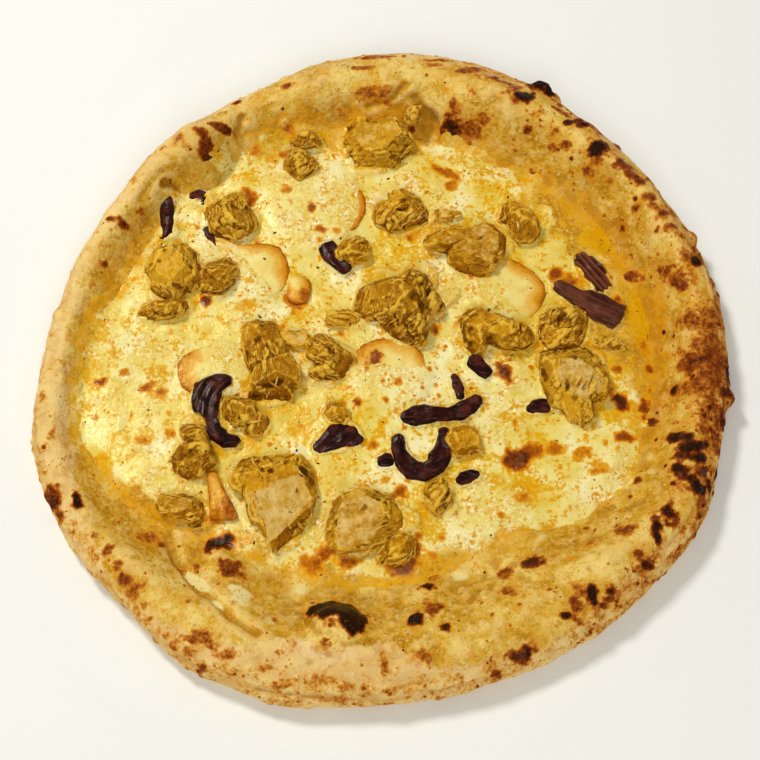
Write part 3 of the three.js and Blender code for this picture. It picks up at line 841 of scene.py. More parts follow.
# %% Plan of the toppings
PLAN_STEP = 0.5              # one cell, in mm
PLAN_HALF = 160              # from the middle to each side
plan_cells = int(2 * PLAN_HALF / PLAN_STEP)


def plan_of(names):
    """A plan with 1 in each cell that a topping stands over."""
    plan = np.zeros((plan_cells, plan_cells))
    for node in names:
        cells = ((read_points(topping_meshes[node])[:, :2] + PLAN_HALF) / PLAN_STEP).astype(int)
        plan[cells[:, 0], cells[:, 1]] = 1
    return plan


def blurred(plan, blur):
    """The plan with each value spread over about that many mm."""
    reach = int(3 * blur / PLAN_STEP)
    weights = np.exp(-0.5 * (np.arange(-reach, reach + 1) * PLAN_STEP / blur) ** 2)
    weights /= weights.sum()
    for axis in (0, 1):
        plan = np.apply_along_axis(lambda row: np.convolve(row, weights, "same"), axis, plan)
    return plan


def look_up(plan, points):
    """The value of the plan below or above each point."""
    cells = np.clip(((points[:, :2] + PLAN_HALF) / PLAN_STEP).astype(int), 0, plan_cells - 1)
    return plan[cells[:, 0], cells[:, 1]]


chunk_plan = plan_of(names_of["chicken"] + names_of["onion"])
near_chunks = blurred(chunk_plan, 1.3)
around_chunks = blurred(chunk_plan, 5)
near_chicken = blurred(plan_of(names_of["chicken"]), 1.2)
print("covered by chicken and onion:", round(100 * chunk_plan.mean()), "percent of the plan")

# %% [markdown]
# ## The melted cheese
#
# Melted cheese is a thin sheet that follows the bread. It is made as rings of points
# around the middle. Each point drops onto the bread below it and is lifted by the
# thickness of the cheese there: thick and white in pools, thin and clear between them.
# At its edge it runs out into the dough, so the last ring lies just under the bread.

# %% Cheese form
SPOKES = 620
RINGS = 140
LOW_RINGS = 12
CHEESE_THICKNESS = 2.8
CHEESE_TAPER = 15            # how far in from its edge it reaches full thickness
CLIMB = 1.6                  # how far it climbs up a topping
UNDERSIDE = 0.8              # how far below the bread its hidden side lies
# for every 15 degrees: where the thin edge ends, and how far out the white pools reach
CHEESE_ENDS = [126, 126, 126, 122, 118, 119, 120, 125, 129, 133, 131, 134,
               143, 147, 138, 121, 113, 113, 113, 107, 104, 117, 124, 127]
WHITE_ENDS = [106, 98, 104, 104, 113, 114, 102, 118, 124, 129, 120, 126,
              138, 143, 130, 108, 106, 108, 105, 97, 101, 120, 124, 122]

bread = surface_of(crust_mesh)
spoke = np.arange(SPOKES) / SPOKES * 2 * math.pi
edge_points = np.stack([np.cos(spoke), np.sin(spoke), np.zeros(SPOKES)], axis=1) * 120
edge_reach = by_direction(CHEESE_ENDS, edge_points) + 3.2 * lumps(edge_points, 16, 71)
ring = (np.arange(1, RINGS + 1) / RINGS) ** 0.8
ring_radius = ring[:, None] * edge_reach[None, :]
cheese_points = np.zeros((RINGS * SPOKES, 3))
cheese_points[:, 0] = (ring_radius * np.cos(spoke)).ravel()
cheese_points[:, 1] = (ring_radius * np.sin(spoke)).ravel()
from_edge = (edge_reach[None, :] - ring_radius).ravel()

bread_height = np.array([height_below(bread, x, y) for x, y, _ in cheese_points])
white_reach = by_direction(WHITE_ENDS, cheese_points)
white = 1 - step(-9, 7, out_from_middle(cheese_points) - white_reach + 7 * lumps(cheese_points, 15, 73))
white *= step(0, 8, from_edge + 4 * lumps(cheese_points, 7, 77))
curds = lumps(cheese_points, 6.5, 75)
thickness = -0.5 + (CHEESE_THICKNESS + 0.5) * step(0, CHEESE_TAPER, from_edge)
inside = step(2, 9, from_edge)
ripple = 0.4 * lumps(cheese_points, 26, 81, 2) + 0.2 * noise(cheese_points, 7, 95)
ripple += 0.3 * step(-0.5, 0.7, curds + white - 0.7)
climb = CLIMB * step(0.12, 0.6, look_up(near_chunks, cheese_points))
cheese_points[:, 2] = bread_height + thickness + inside * (ripple + climb)
print("white cheese:", round(100 * (white > 0.5).mean()), "percent of the points")

# %% [markdown]
# The cheese has also run over the slices of smoked cheese, from the side that has no
# rind. Where it lies over a slice, its points are lifted to just above it. First a plan
# says how high the top of each covered slice is.

# %% Plan of the covered slices
# which way each slice's rind faces, in degrees, and how far towards it the cheese has run:
# -1 is the side without a rind, 0 the middle and 1 the rind
COVERED = {
    "slice_top_left": (-8, 0.72), "slice_left": (40, -0.2), "slice_middle": (85, 0.15),
    "slice_right": (30, -0.35), "slice_far_left": (195, -0.3), "slice_low_right": (90, 0.3),
}

cell_at = (np.arange(plan_cells) + 0.5) * PLAN_STEP - PLAN_HALF
lift_plan = np.zeros((plan_cells, plan_cells))
cells = np.stack([*np.meshgrid(cell_at, cell_at, indexing="ij"), lift_plan], axis=-1)
wander = (0.3 * noise(cells.reshape(-1, 3), 9, 97)).reshape(plan_cells, plan_cells)
for node, (rind_side, covered) in COVERED.items():
    points = read_points(topping_meshes[node])
    middle = points.mean(axis=0)
    slice_surface = surface_of(topping_meshes[node])
    reach = reach_by_angle(points - middle, 36)
    for i in np.flatnonzero(np.abs(cell_at - middle[0]) < np.ptp(points[:, 0]) / 2 + 1):
        for j in np.flatnonzero(np.abs(cell_at - middle[1]) < np.ptp(points[:, 1]) / 2 + 1):
            x, y = cell_at[i] - middle[0], cell_at[j] - middle[1]
            turn = math.atan2(y, x)
            towards = math.cos(turn - math.radians(rind_side)) * math.hypot(x, y) / reach(turn)
            if towards + wander[i, j] < covered:
                top = height_below(slice_surface, cell_at[i], cell_at[j])
                lift_plan[i, j] = max(lift_plan[i, j], top)
print("cells where cheese covers a slice:", int((lift_plan > 0).sum()))

# %% [markdown]
# Then the plan is grown a little and blurred, so that the cheese slopes up to each slice,
# and the points below it are lifted. Beside the slices the cheese also bubbled most, which
# gives it a fine uneven surface there.

# %% Cheese over the slices
FILM = 0.4                   # thickness of the cheese on a slice


def grown(plan, cells):
    """The plan with each value spread over the cells around it."""
    spread = plan
    for i in range(-cells, cells + 1):
        for j in range(-cells, cells + 1):
            if i * i + j * j <= cells * cells:
                spread = np.maximum(spread, np.roll(plan, (i, j), axis=(0, 1)))
    return spread


covered_cells = (lift_plan > 0) * 1.0
near_slice = look_up(blurred(grown(covered_cells, 5), 3.4), cheese_points)
slice_top = look_up(blurred(grown(lift_plan, 10), 1.0), cheese_points)
above_slice = slice_top + FILM + 0.15 * lumps(cheese_points, 3, 99, 2)
lift = np.clip(above_slice - cheese_points[:, 2], 0, None) * step(0.0, 0.9, near_slice)
cheese_points[:, 2] += lift * inside
around_slices = look_up(blurred(covered_cells, 5), cheese_points)
bubbly = step(-0.2, 0.4, lumps(cheese_points, 26, 115) + 0.9 * around_slices)
cheese_points[:, 2] += inside * bubbly * 0.22 * lumps(cheese_points, 2.4, 101, 2)
print("highest cheese:", cheese_points[:, 2].max().round(1), "mm")

# %% [markdown]
# Last, the rings of points become a mesh. A few more rings lead back to the middle just
# below the bread, so the sheet is closed, as a solid has to be.

# %% Close the sheet
def sheet_of_rings(points, spokes, rings, first_end, last_end):
    """A closed skin over rings of points, with one more point at each of its two ends."""
    here = np.arange(spokes)
    after = (here + 1) % spokes
    faces = []
    for k in range(rings - 1):
        low, high = k * spokes, (k + 1) * spokes
        faces += np.stack([low + here, high + here, high + after, low + after], axis=1).tolist()
    count = len(points)
    last = (rings - 1) * spokes
    for a, b in zip(here.tolist(), after.tolist()):
        faces.append((count, a, b))
        faces.append((count + 1, last + b, last + a))
    mesh = bpy.data.meshes.new("sheet")
    mesh.from_pydata((np.vstack([points, first_end, last_end]) * MM).tolist(), [], faces)
    mesh.update()
    return mesh


# the underside: the same bread below, from the edge back to the middle
low_rings = np.linspace(RINGS - 2, 0, LOW_RINGS).astype(int)
underside = cheese_points.reshape(RINGS, SPOKES, 3)[low_rings].copy()
underside[:, :, 2] = bread_height.reshape(RINGS, SPOKES)[low_rings] - UNDERSIDE
all_rings = np.vstack([cheese_points, underside.reshape(-1, 3)])
first_end = [0, 0, cheese_points[:SPOKES, 2].mean()]
last_end = [0, 0, bread_height[:SPOKES].mean() - UNDERSIDE]
cheese_mesh = sheet_of_rings(all_rings, SPOKES, RINGS + LOW_RINGS, first_end, last_end)
cheese_all = read_points(cheese_mesh)
hidden_count = len(cheese_all) - len(cheese_points)
print("cheese points:", len(cheese_all))

# %% [markdown]
# The colour of the cheese comes from its fat. Where it is thick it is cream white, where
# oil has parted from it it is clear yellow, and by the bread it is as golden as the
# dough that shows through it. Small brown spots sit where it bubbled.

# %% Marks on the cheese
# column, row, length, width, turn and strength of the toasted spots of the cheese
CHEESE_MARKS = [
    (557, 273, 8, 7, 30, 0.5), (570, 281, 11, 9, 0, 0.4), (517, 461, 14, 12, 20, 0.6),
    (533, 450, 12, 9, 0, 0.45), (621, 402, 7, 7, 0, 0.7), (645, 409, 7, 10, 0, 0.6),
    (654, 408, 12, 12, 0, 0.32), (147, 387, 7, 6, 0, 0.5), (142, 440, 6, 5, 0, 0.3),
    (102, 382, 5, 4, 0, 0.6), (285, 190, 6, 5, 0, 0.35), (312, 207, 4, 4, 0, 0.5),
    (249, 196, 7, 9, 0, 0.5), (445, 172, 16, 5, -30, 0.36), (452, 184, 7, 5, 0, 0.36),
    (435, 330, 4, 5, 0, 0.5), (400, 492, 6, 6, 0, 0.45), (312, 565, 12, 8, 0, 0.38),
    (326, 555, 8, 7, 0, 0.42), (350, 562, 10, 6, 0, 0.34), (617, 300, 5, 5, 0, 0.45),
    (637, 277, 11, 8, 0, 0.4), (650, 338, 5, 5, 0, 0.5), (645, 345, 7, 8, 0, 0.3),
    (627, 437, 9, 4, 0, 0.5), (617, 370, 5, 4, 0, 0.4), (650, 370, 5, 4, 0, 0.5),
    (610, 390, 5, 5, 0, 0.45), (270, 385, 6, 5, 0, 0.3), (372, 445, 6, 4, 0, 0.3),
    (356, 402, 5, 4, 0, 0.5), (330, 320, 6, 4, 0, 0.35), (404, 565, 14, 10, 0, 0.5),
    (388, 560, 9, 6, 0, 0.42), (412, 548, 9, 9, 0, 0.42), (160, 392, 6, 4, 0, 0.3),
    (124, 372, 5, 4, 0, 0.3), (466, 232, 4, 3, 0, 0.4), (600, 470, 9, 7, 0, 0.22),
    (522, 497, 8, 6, 0, 0.22), (297, 300, 10, 12, 0, 0.42), (207, 300, 6, 5, 0, 0.62),
    (235, 590, 5, 4, 0, 0.4), (322, 230, 5, 4, 0, 0.5), (565, 324, 9, 6, 0, 0.6),
    (505, 372, 7, 11, 20, 0.62), (582, 452, 7, 7, 0, 0.3), (555, 448, 9, 6, 0, 0.35),
    (290, 130, 8, 5, 0, 0.35), (285, 155, 6, 5, 0, 0.4), (255, 150, 6, 5, 0, 0.3),
    (210, 520, 8, 5, 0, 0.3), (170, 505, 8, 5, 0, 0.3), (90, 465, 8, 10, 0, 0.14),
    (219, 546, 14, 11, 10, 1.0), (232, 571, 15, 12, -30, 0.75),
]
# the same for places where golden oil has parted from the cheese
GOLDEN_PLACES = [
    (285, 135, 16, 9, 0, 0.9), (268, 150, 16, 12, 0, 0.8), (320, 135, 10, 7, 0, 0.8),
    (250, 178, 8, 9, 0, 0.7), (302, 283, 8, 9, 0, 0.9), (245, 305, 14, 5, 10, 0.7),
    (300, 425, 12, 22, 0, 0.8), (340, 330, 12, 10, 0, 0.5), (255, 440, 9, 9, 0, 0.8),
    (545, 487, 22, 5, 5, 0.7), (632, 415, 18, 16, 0, 1.0), (570, 278, 14, 10, 0, 1.0),
    (640, 320, 14, 30, 0, 0.9), (100, 335, 8, 14, 0, 1.0), (98, 465, 10, 12, 0, 1.0),
    (145, 435, 9, 9, 0, 0.6), (398, 556, 20, 10, 0, 0.9), (330, 556, 14, 7, 0, 0.8),
    (485, 185, 14, 7, -10, 0.8), (445, 172, 10, 5, -30, 0.8), (440, 475, 8, 10, 0, 0.7),
    (345, 400, 12, 7, 0, 0.8), (160, 395, 12, 8, 0, 0.5), (210, 470, 8, 20, 0, 0.8),
    (600, 240, 20, 16, 0, 0.9), (375, 585, 30, 6, 0, 0.7), (120, 290, 7, 14, 0, 0.9),
    (470, 240, 8, 8, 0, 0.4), (535, 440, 18, 8, 0, 0.5), (430, 560, 14, 8, 0, 0.8),
]
print("toasted spots:", len(CHEESE_MARKS), "golden places:", len(GOLDEN_PLACES))

# %% [markdown]
# Small toasted spots are strewn between the named ones by a seeded draw. Then every number
# that the material reads is stored: the toppings and the slices change the cheese around
# them too, with oil from the chicken, golden juice with painted contact shade beside it,
# and white cheese on the slices.

# %% Numbers for the cheese
SMALL_TOASTS = 260

on_cheese = places_on(cheese_mesh)
cheese_burn = paint_marks(cheese_all, CHEESE_MARKS, on_cheese)
draw = np.random.default_rng(8)
for place in cheese_all[draw.integers(0, SPOKES * RINGS, SMALL_TOASTS)]:
    size = 0.7 + 2.0 * draw.random() ** 3
    strength = 0.14 + 0.3 * draw.random()
    near = np.flatnonzero(np.abs(cheese_all - place).max(axis=1) < size)
    distance = np.linalg.norm(cheese_all[near] - place, axis=1) / size
    cheese_burn[near] = np.maximum(cheese_burn[near], strength * (1 - distance**2).clip(0))

oil_pools = step(0.0, 0.8, lumps(cheese_points, 20, 111))
by_chunks = step(0.15, 0.7, look_up(around_chunks, cheese_points))
on_slices = step(0.0, 0.7, around_slices + 0.25 * lumps(cheese_points, 5, 113))
golden_oil = 0.7 * paint_marks(cheese_points, GOLDEN_PLACES, on_cheese)
# golden juice beside the chicken, darker as painted contact shade
juice_and_shade = step(0.1, 0.75, look_up(near_chicken, cheese_points))
# what is known of the points that show
on_top = {
    "white": np.maximum(white, on_slices), "curds": curds, "bubbly": bubbly,
    "oil": 0.55 * oil_pools * (1 - on_slices) + 0.35 * by_chunks, "golden": golden_oil,
    "juice_and_shade": juice_and_shade, "edge": 1 - step(0, 20, from_edge),
}
for name, values in on_top.items():      # the underside, which is hidden, gets zeros
    store(cheese_mesh, **{name: np.append(values, np.zeros(hidden_count))})
# the relief is kept for a painted highlight on the crests
store(cheese_mesh, burn=cheese_burn, crest=standing_out(cheese_mesh, 6, 0.25))
print("small toasted spots:", SMALL_TOASTS)

# %% [markdown]
# The recipe has two colours, the clear golden edge and the cream white pools, and then what
# lies on both: golden oil, golden juice with painted contact shade around the chicken,
# and toast. A painted highlight lies on the crests of the cream. Soft beads in the relief
# break up the gloss.

# %% Cheese finish
cheese = Finish("melted cheese")
near_edge = cheese.ragged(cheese.painted("edge"), 0.25)
clear = cheese.lay(golden_dough(cheese), (228, 162, 0), near_edge, 0.4, 0.95, 0.75)
cream = cheese.shades(cheese.broad, (0.34, (226, 194, 70)), (0.5, (238, 219, 118)),
                      (0.66, (250, 244, 190)))
bubbles = cheese.painted("bubbly")
flecks = cheese.times(cheese.between(cheese.middling, 0.5, 0.62), bubbles)
fine_flecks = cheese.times(cheese.between(cheese.fine, 0.5, 0.62),
                           cheese.between(bubbles, 0, 1, 0.25, 0.75))
golden_flecks = cheese.times(
    cheese.between(cheese.noise(4, detail=4, roughness=0.7), 0.52, 0.62),
    cheese.between(bubbles, 0.0, 1.0, 0.08, 0.6))
cream = cheese.cover(cream, (254, 251, 212), cheese.times(flecks, 0.9))
cream = cheese.cover(cream, (252, 246, 190), fine_flecks)
cream = cheese.cover(cream, (226, 178, 10), golden_flecks)
oily = cheese.ragged(cheese.painted("oil"), 0.4)
# oil, then a painted highlight on the crests
cream = cheese.layers(
    cream, ((228, 182, 0), oily, 0.24, 0.5, 0.9), ((218, 150, 0), oily, 0.5, 0.85, 0.85),
    ((250, 240, 176), cheese.painted("crest"), 0.6, 0.9, 0.35))
lumpy = cheese.times(cheese.painted("curds"), 0.35)
thick = cheese.ragged(cheese.maths("ADD", cheese.painted("white"), lumpy), 0.2)
gold = cheese.ragged(cheese.painted("golden"), 0.45)
# juice and painted contact shade beside the chicken
ragged_juice_and_shade = cheese.ragged(cheese.painted("juice_and_shade"), 0.12)
melt = cheese.layers(
    clear, (cream, thick, 0.3, 0.6), ((228, 178, 0), gold, 0.12, 0.4, 0.85),
    ((226, 156, 0), gold, 0.5, 0.9, 0.8), ((222, 170, 0), ragged_juice_and_shade, 0.15, 0.6, 0.4))
toasts = cheese.times(cheese.spots(6, 0.2, 0.15), 0.26)
toasted = cheese.ragged(cheese.maths("MAXIMUM", cheese.painted("burn"), toasts), 0.09)
melt = cheese.lay(melt, (228, 164, 0), toasted, 0.02, 0.14, 0.9)
melt = cheese.browned(melt, toasted, CHEESE_BROWNS)
gloss = cheese.between(bubbles, 0.0, 1.0, 0.2, 0.12)
beads = cheese.times(cheese.noise(2.0, detail=3, roughness=0.6),
                     cheese.between(bubbles, 0, 1, 0.35, 1))
melted_cheese = cheese.finish(melt, gloss, cheese.bump(beads, 0.9), shine=0.32,
                              tint=BUTTER_TINT, glow=0.03, glow_depth=2.0)
add_piece("melted_cheese", cheese_mesh, melted_cheese, "melted_cheese", "cheese_melted")
print("cheese faces:", len(cheese_mesh.polygons))

# %% [markdown]
# ## The slices of smoked cheese
#
# Each slice was cut from a small smoked cheese, so part of its edge is a tan rind. The
# rind faces a different way on each slice. The slices have softened, so their edges are
# round and slumped.

# %% Smoked cheese finish
# which way the rind faces, in degrees, how far it runs to each side, and how brown the face is
RINDS = {
    "slice_top_left": (-8, 75, 0.0), "slice_left": (45, 80, 0.0), "slice_middle": (88, 85, 0.1),
    "slice_right": (25, 75, 0.0), "slice_far_left": (190, 70, 0.0), "slice_low_right": (0, 0, 0.0),
    "slice_wedge": (-60, 150, 0.3), "slice_on_edge": (0, 180, 0.8),
}
RIND_FADE = 9.0              # how far in from the rind the face is tinted
SLICE_MARKS = [
    (370, 373, 14, 14, 30, 0.4), (356, 402, 6, 5, 0, 0.5), (368, 402, 5, 4, 0, 0.4),
    (285, 190, 5, 4, 0, 0.35), (312, 207, 4, 4, 0, 0.45), (375, 360, 8, 9, 0, 0.45),
    (256, 243, 11, 5, -20, 0.5), (372, 340, 14, 5, 30, 0.35), (290, 262, 6, 12, 20, 0.3),
    (303, 295, 8, 8, 0, 0.42), (228, 508, 7, 14, 0, 0.36),
]


def facing(angle, middle, spread):
    """1 where an angle is near the middle one, falling to 0 at the spread, in degrees."""
    apart = np.abs((angle - middle + 180) % 360 - 180)
    return 1 - step(spread * 0.5, spread, apart)


def rind_amount(points, direction, spread):
    """1 on the rind itself, and less and less on the face beside it."""
    offset = points - points.mean(axis=0)
    angle = np.arctan2(offset[:, 1], offset[:, 0])
    from_outline = reach_by_angle(offset, 36)(angle) - out_from_middle(offset)
    if spread == 0:
        return np.zeros(len(points))
    turned = facing(np.degrees(angle), direction, spread * 1.3) if spread < 180 else 1
    wander = 1 + 0.4 * noise(points, 7, 121)
    return turned * np.clip(1 - from_outline / (RIND_FADE * wander), 0, 1)


smoked = Finish("smoked cheese")
pale = smoked.shades(smoked.broad, (0.34, (232, 206, 108)), (0.5, (240, 220, 130)), (0.66, (245, 232, 158)))
rind = smoked.ragged(smoked.painted("rind"), 0.08)
face = smoked.layers(
    pale, ((226, 176, 52), smoked.middling, 0.56, 0.72, 0.5),
    ((228, 168, 54), rind, 0.06, 0.5, 0.85), ((210, 136, 14), rind, 0.5, 0.78, 0.9),
    ((170, 92, 0), rind, 0.82, 0.96, 0.9))
face = smoked.browned(face, smoked.ragged(smoked.painted("burn"), 0.08))
sweat = smoked.bump(smoked.noise(2.2, detail=3), 0.4)
smoked_cheese = smoked.finish(face, smoked.between(smoked.middling, 0.3, 0.7, 0.14, 0.32), sweat,
                              shine=0.2, glow=0.03, glow_depth=2.0)
print("nodes for the smoked cheese:", len(smoked.tree.nodes))

# %% [markdown]
# One slice stands on its edge, so only its rind shows, as a brown wedge that is flat on
# top. The others are pushed in and out a little, and each gets its rind and its marks.

# %% Dress the slices
# the line along the wedge's middle and half its width: in the middle, and more towards the
# far end
WEDGE_LINE = (-71.6, -3.1)
WEDGE_HALF = (4.3, -2.2)


def wedge(points):
    """Makes a slice that stands on its edge flat on top, straight and wider at the near end."""
    middle = points.mean(axis=0)
    offset = points - middle
    share = offset[:, 1] / np.abs(offset[:, 1]).max()
    line = np.polyfit(share, offset[:, 0], 1)
    aside = offset[:, 0] - np.polyval(line, share)
    usual = np.abs(aside).max() * np.sqrt(1.05 - share**2)
    across = np.clip(aside / usual, -1, 1)
    moved = points.copy()
    moved[:, 0] = WEDGE_LINE[0] + WEDGE_LINE[1] * share
    moved[:, 0] += (WEDGE_HALF[0] + WEDGE_HALF[1] * share) * across
    moved[:, 2] = middle[2] + np.minimum(offset[:, 2], 0.6 * offset[:, 2].max())
    return moved


standing = topping_meshes["slice_on_edge"]
write_points(standing, wedge(read_points(standing)))
on_slice = places_on(*[topping_meshes[node] for node in names_of["slice"]])
for node in names_of["slice"]:
    mesh = topping_meshes[node]
    points = read_points(mesh)
    direction, spread, brown = RINDS[node]
    edge = rind_amount(points, direction, spread)
    push = 0.3 * lumps(points, 11, 131) + 0.12 * lumps(points, 3, 135, 2)
    write_points(mesh, points + read_normals(mesh) * push[:, None])
    marks = paint_marks(points, SLICE_MARKS, on_slice)
    towards_near = 0.6 * (points[:, 0] - points[:, 1]) / np.ptp(points[:, 1])
    towards_near = towards_near - towards_near.mean()
    deep = brown * (0.8 + 0.3 * noise(points, 5, 141) + towards_near)
    store(mesh, rind=np.clip(np.maximum(edge, deep), 0, 1), burn=marks)
    add_piece("smoked_" + node, mesh, smoked_cheese, "smoked_cheese", node)
print("slices:", len(names_of["slice"]))

# %% [markdown]
# ## The chicken
#
# Cooked chicken breaks into blocks with flat sides and sharp corners, and tears along
# its fibres. So each chunk is first cut by a few planes, and some have one face that a
# knife left flat and pale. Then patches of the surface are torn: they show bundles of
# fibres with thin clefts between them, and layers that end in small ledges. The clefts
# get painted shade, and the ledges a painted shadow under them.

# %% What is known of each chunk
# how the fibres lie, in degrees, and how torn a chunk is: -1 is smooth, 1 torn all over
CHUNKS = {
    "chicken_heart": (-75, 0.1), "chicken_front": (20, 0.0), "chicken_right": (70, 0.3),
    "chicken_top": (20, 0.4), "chicken_left_shreds": (105, 0.9), "chicken_heap": (70, 0.6),
    "chicken_upper_right": (-20, -0.2), "chicken_left": (80, 0.65), "chicken_cube": (90, -0.7),
    "chicken_flat_shred": (-20, -0.2), "chicken_shred_top": (0, -0.2), "chicken_petals": (75, -0.1),
    "chicken_upper_block": (100, 0.3), "chicken_middle_left": (-50, 0.7),
    "chicken_small_left": (20, 0.0), "chicken_round_right": (90, -0.3), "chicken_sunk": (0, -0.2),
}
USUAL_CHUNK = (40, 0.3)
# flat cut faces: how far down, as a share of the height, the slope along x and y, and how pale
CUT_FACES = {
    "chicken_heart": (0.42, 0.03, 0.05, 1.0), "chicken_front": (0.36, 0.0, 0.08, 0.5),
    "chicken_right": (0.34, -0.05, 0.04, 0.55), "chicken_top": (0.22, 0.05, 0.0, 0.3),
    "chicken_cube": (0.25, 0.0, 0.0, 0.1), "chicken_flat_shred": (0.25, 0.0, 0.05, 0.7),
    "chicken_upper_right": (0.36, 0.0, 0.05, 0.35), "chicken_left": (0.2, 0.0, 0.05, 0.3),
    "chicken_shred_top": (0.2, 0.0, 0.0, 0.6), "chicken_small_left": (0.2, 0.0, 0.0, 0.3),
}
# which way the pale part of a cut face lies, in degrees, where it isn't pale all over
PALE_TOWARDS = {"chicken_heart": -70}
# chunks that are more golden, and chunks that are deeper brown, than the others
GOLDEN = {"chicken_left": 0.6, "chicken_right": 0.35, "chicken_top": 0.3, "chicken_front": 0.2}
DEEP = {"chicken_heap": 0.4, "chicken_upper_block": 0.35, "chicken_left_shreds": 0.3,
        "chicken_middle_left": 0.35, "chicken_upper_right": 0.25, "chicken_petals": 0.3}
# column, row, length, width, turn and strength of dark herbs and browned spots on the chunks
CHICKEN_MARKS = [
    (262, 470, 2.2, 2.2, 0, 0.9), (271, 471, 3.0, 2.4, 0, 0.9), (262, 478, 2, 2, 0, 0.8),
    (303, 471, 5, 6, 20, 1.0), (312, 482, 3, 5, 0, 0.7), (247, 506, 2.6, 2, 0, 0.7),
    (297, 491, 2, 3, 0, 0.8), (286, 463, 4, 3, 0, 0.4), (363, 509, 4, 4, 0, 0.5),
    (376, 498, 5, 1.4, -30, 0.7), (574, 357, 5, 3, 0, 0.6), (583, 352, 3, 2, 0, 0.6),
    (567, 385, 3, 6, 0, 0.7), (574, 398, 5, 4, 30, 0.5), (545, 375, 2, 8, 20, 0.7),
    (256, 340, 5, 4, 0, 0.9), (247, 355, 2.4, 6, 0, 0.9), (262, 325, 3, 2, 0, 0.7),
    (272, 384, 10, 2.4, 10, 0.9), (256, 395, 7, 2.4, -10, 0.8), (330, 350, 3, 7, 40, 0.7),
    (415, 296, 7, 5, -20, 0.7), (421, 305, 5, 4, 0, 0.7), (431, 282, 1.2, 5, 10, 1.0),
    (410, 272, 2, 2, 0, 0.7), (390, 322, 7, 4, 0, 0.7), (404, 318, 3, 5, 0, 0.6),
    (462, 226, 9, 4, 0, 0.55), (455, 243, 12, 1.4, 30, 0.7), (443, 235, 3, 2, 0, 0.6),
    (480, 238, 4, 1.2, 30, 0.6), (350, 128, 5, 4, 0, 0.7), (360, 150, 4, 3, 0, 0.5),
    (395, 158, 5, 3, 0, 0.5), (372, 122, 8, 3, 0, 0.5), (160, 262, 4, 3, 0, 0.7),
    (175, 285, 8, 2, 0, 0.7), (165, 250, 3, 3, 0, 0.5), (212, 275, 5, 5, 0, 0.5),
    (470, 345, 5, 3, 0, 0.8), (512, 335, 8, 3, 10, 0.4), (470, 330, 3, 5, 0, 0.6),
    (190, 440, 5, 4, 0, 0.6), (185, 455, 8, 4, 0, 0.6), (222, 215, 4, 3, 0, 0.5),
    (232, 205, 2, 6, 0, 0.6), (240, 228, 5, 2, 30, 0.6), (405, 200, 5, 4, 0, 0.6),
    (395, 214, 4, 4, 0, 0.6), (560, 318, 6, 4, 0, 0.7), (572, 326, 4, 4, 0, 0.6),
]
print("chunks with a cut face:", len(CUT_FACES), "dark marks:", len(CHICKEN_MARKS))

# %% [markdown]
# Breaking and cutting both press the points that stand out too far back to a plane. The
# planes of a break are drawn at random. Those of a cut come from the list above.

# %% Broken and cut faces
BREAKS = 7                   # planes that break each chunk


def broken_flat(points, count, seed):
    """Presses a chunk down to a few planes that face upwards and to the sides."""
    draw = np.random.default_rng(seed)
    middle = points.mean(axis=0)
    offset = points - middle
    for _ in range(count):
        turn = draw.random() * 2 * math.pi
        rise = draw.uniform(0.45, 0.92)
        level = math.sqrt(1 - rise * rise)
        way = np.array([level * math.cos(turn), level * math.sin(turn), rise])
        reach = offset @ way
        limit = np.quantile(reach, draw.uniform(0.8, 0.95))
        offset = offset - np.clip(reach - limit, 0, None)[:, None] * 0.92 * way
    return middle + offset


def cut_flat(points, normals, cut):
    """Presses the top of a chunk down to a plane, and says where it did."""
    below, slope_x, slope_y, _ = cut
    middle = points.mean(axis=0)
    plane = points[:, 2].max() - below * np.ptp(points[:, 2])
    plane = plane + slope_x * (points[:, 0] - middle[0]) + slope_y * (points[:, 1] - middle[1])
    above = np.clip(points[:, 2] - plane, 0, None)
    pressed = points.copy()
    pressed[:, 2] -= 0.9 * above
    return pressed, step(0.0, 0.5, above) * step(0.2, 0.6, normals[:, 2])


heart = read_points(topping_meshes["chicken_heart"])
broken_heart = broken_flat(heart, BREAKS, 0)
print("breaking moves a point by up to", np.abs(broken_heart - heart).max().round(1), "mm")

# %% [markdown]
# The torn look is built from places that are measured along and across the fibres, so that
# one kind of noise can be long one way and narrow the other. Bundles of fibres lie side by
# side. Every so often a bundle ends, and the gap between two bundles is painted dark as
# shade.

# %% Torn faces
def fibre_places(points, turn, seed):
    """Places measured along and across the fibres, which bend from side to side."""
    sway = np.stack([noise(points, 12, seed + k) for k in range(3)], axis=1)
    bent = points + 2.0 * sway
    return np.stack([*along_and_across(bent, turn), bent[:, 2]], axis=1)


def chance(seed, *numbers):
    """A random share from 0 to 1 for each set of whole numbers, the same each time."""
    mixed = sum(number * factor for number, factor in zip(numbers, (12.9898, 78.233)))
    return np.modf(np.abs(np.sin(mixed + seed) * 43758.5453))[0]


def bundles(places, points, length, width, seed):
    """Bundles of fibres side by side, each broken here and there along its length.

    Gives how high each point stands, from about -1 to 1, and its painted shade between bundles.
    """
    across = (places[:, 1] + 0.8 * places[:, 2]) / width + 1.5 * noise(points, 12, seed)
    across += 0.5 * noise(points, 4, seed + 9)
    bundle = np.floor(across)
    share = across - bundle
    along = places[:, 0] / length + 9 * chance(seed, bundle)
    part = np.floor(along)
    rest = along - part
    round_top = np.sin(math.pi * share) ** 0.7
    standing = chance(seed + 3, bundle, part) - 0.5
    gap = np.minimum(share, 1 - share)
    # the gap between bundles, for painted shade
    cleft = 1 - step(0.02, 0.2, gap)
    end = 1 - step(0.0, 0.08, rest)
    return 0.8 * round_top - 0.5 + 0.9 * standing - 0.4 * end, np.maximum(cleft, 0.8 * end)


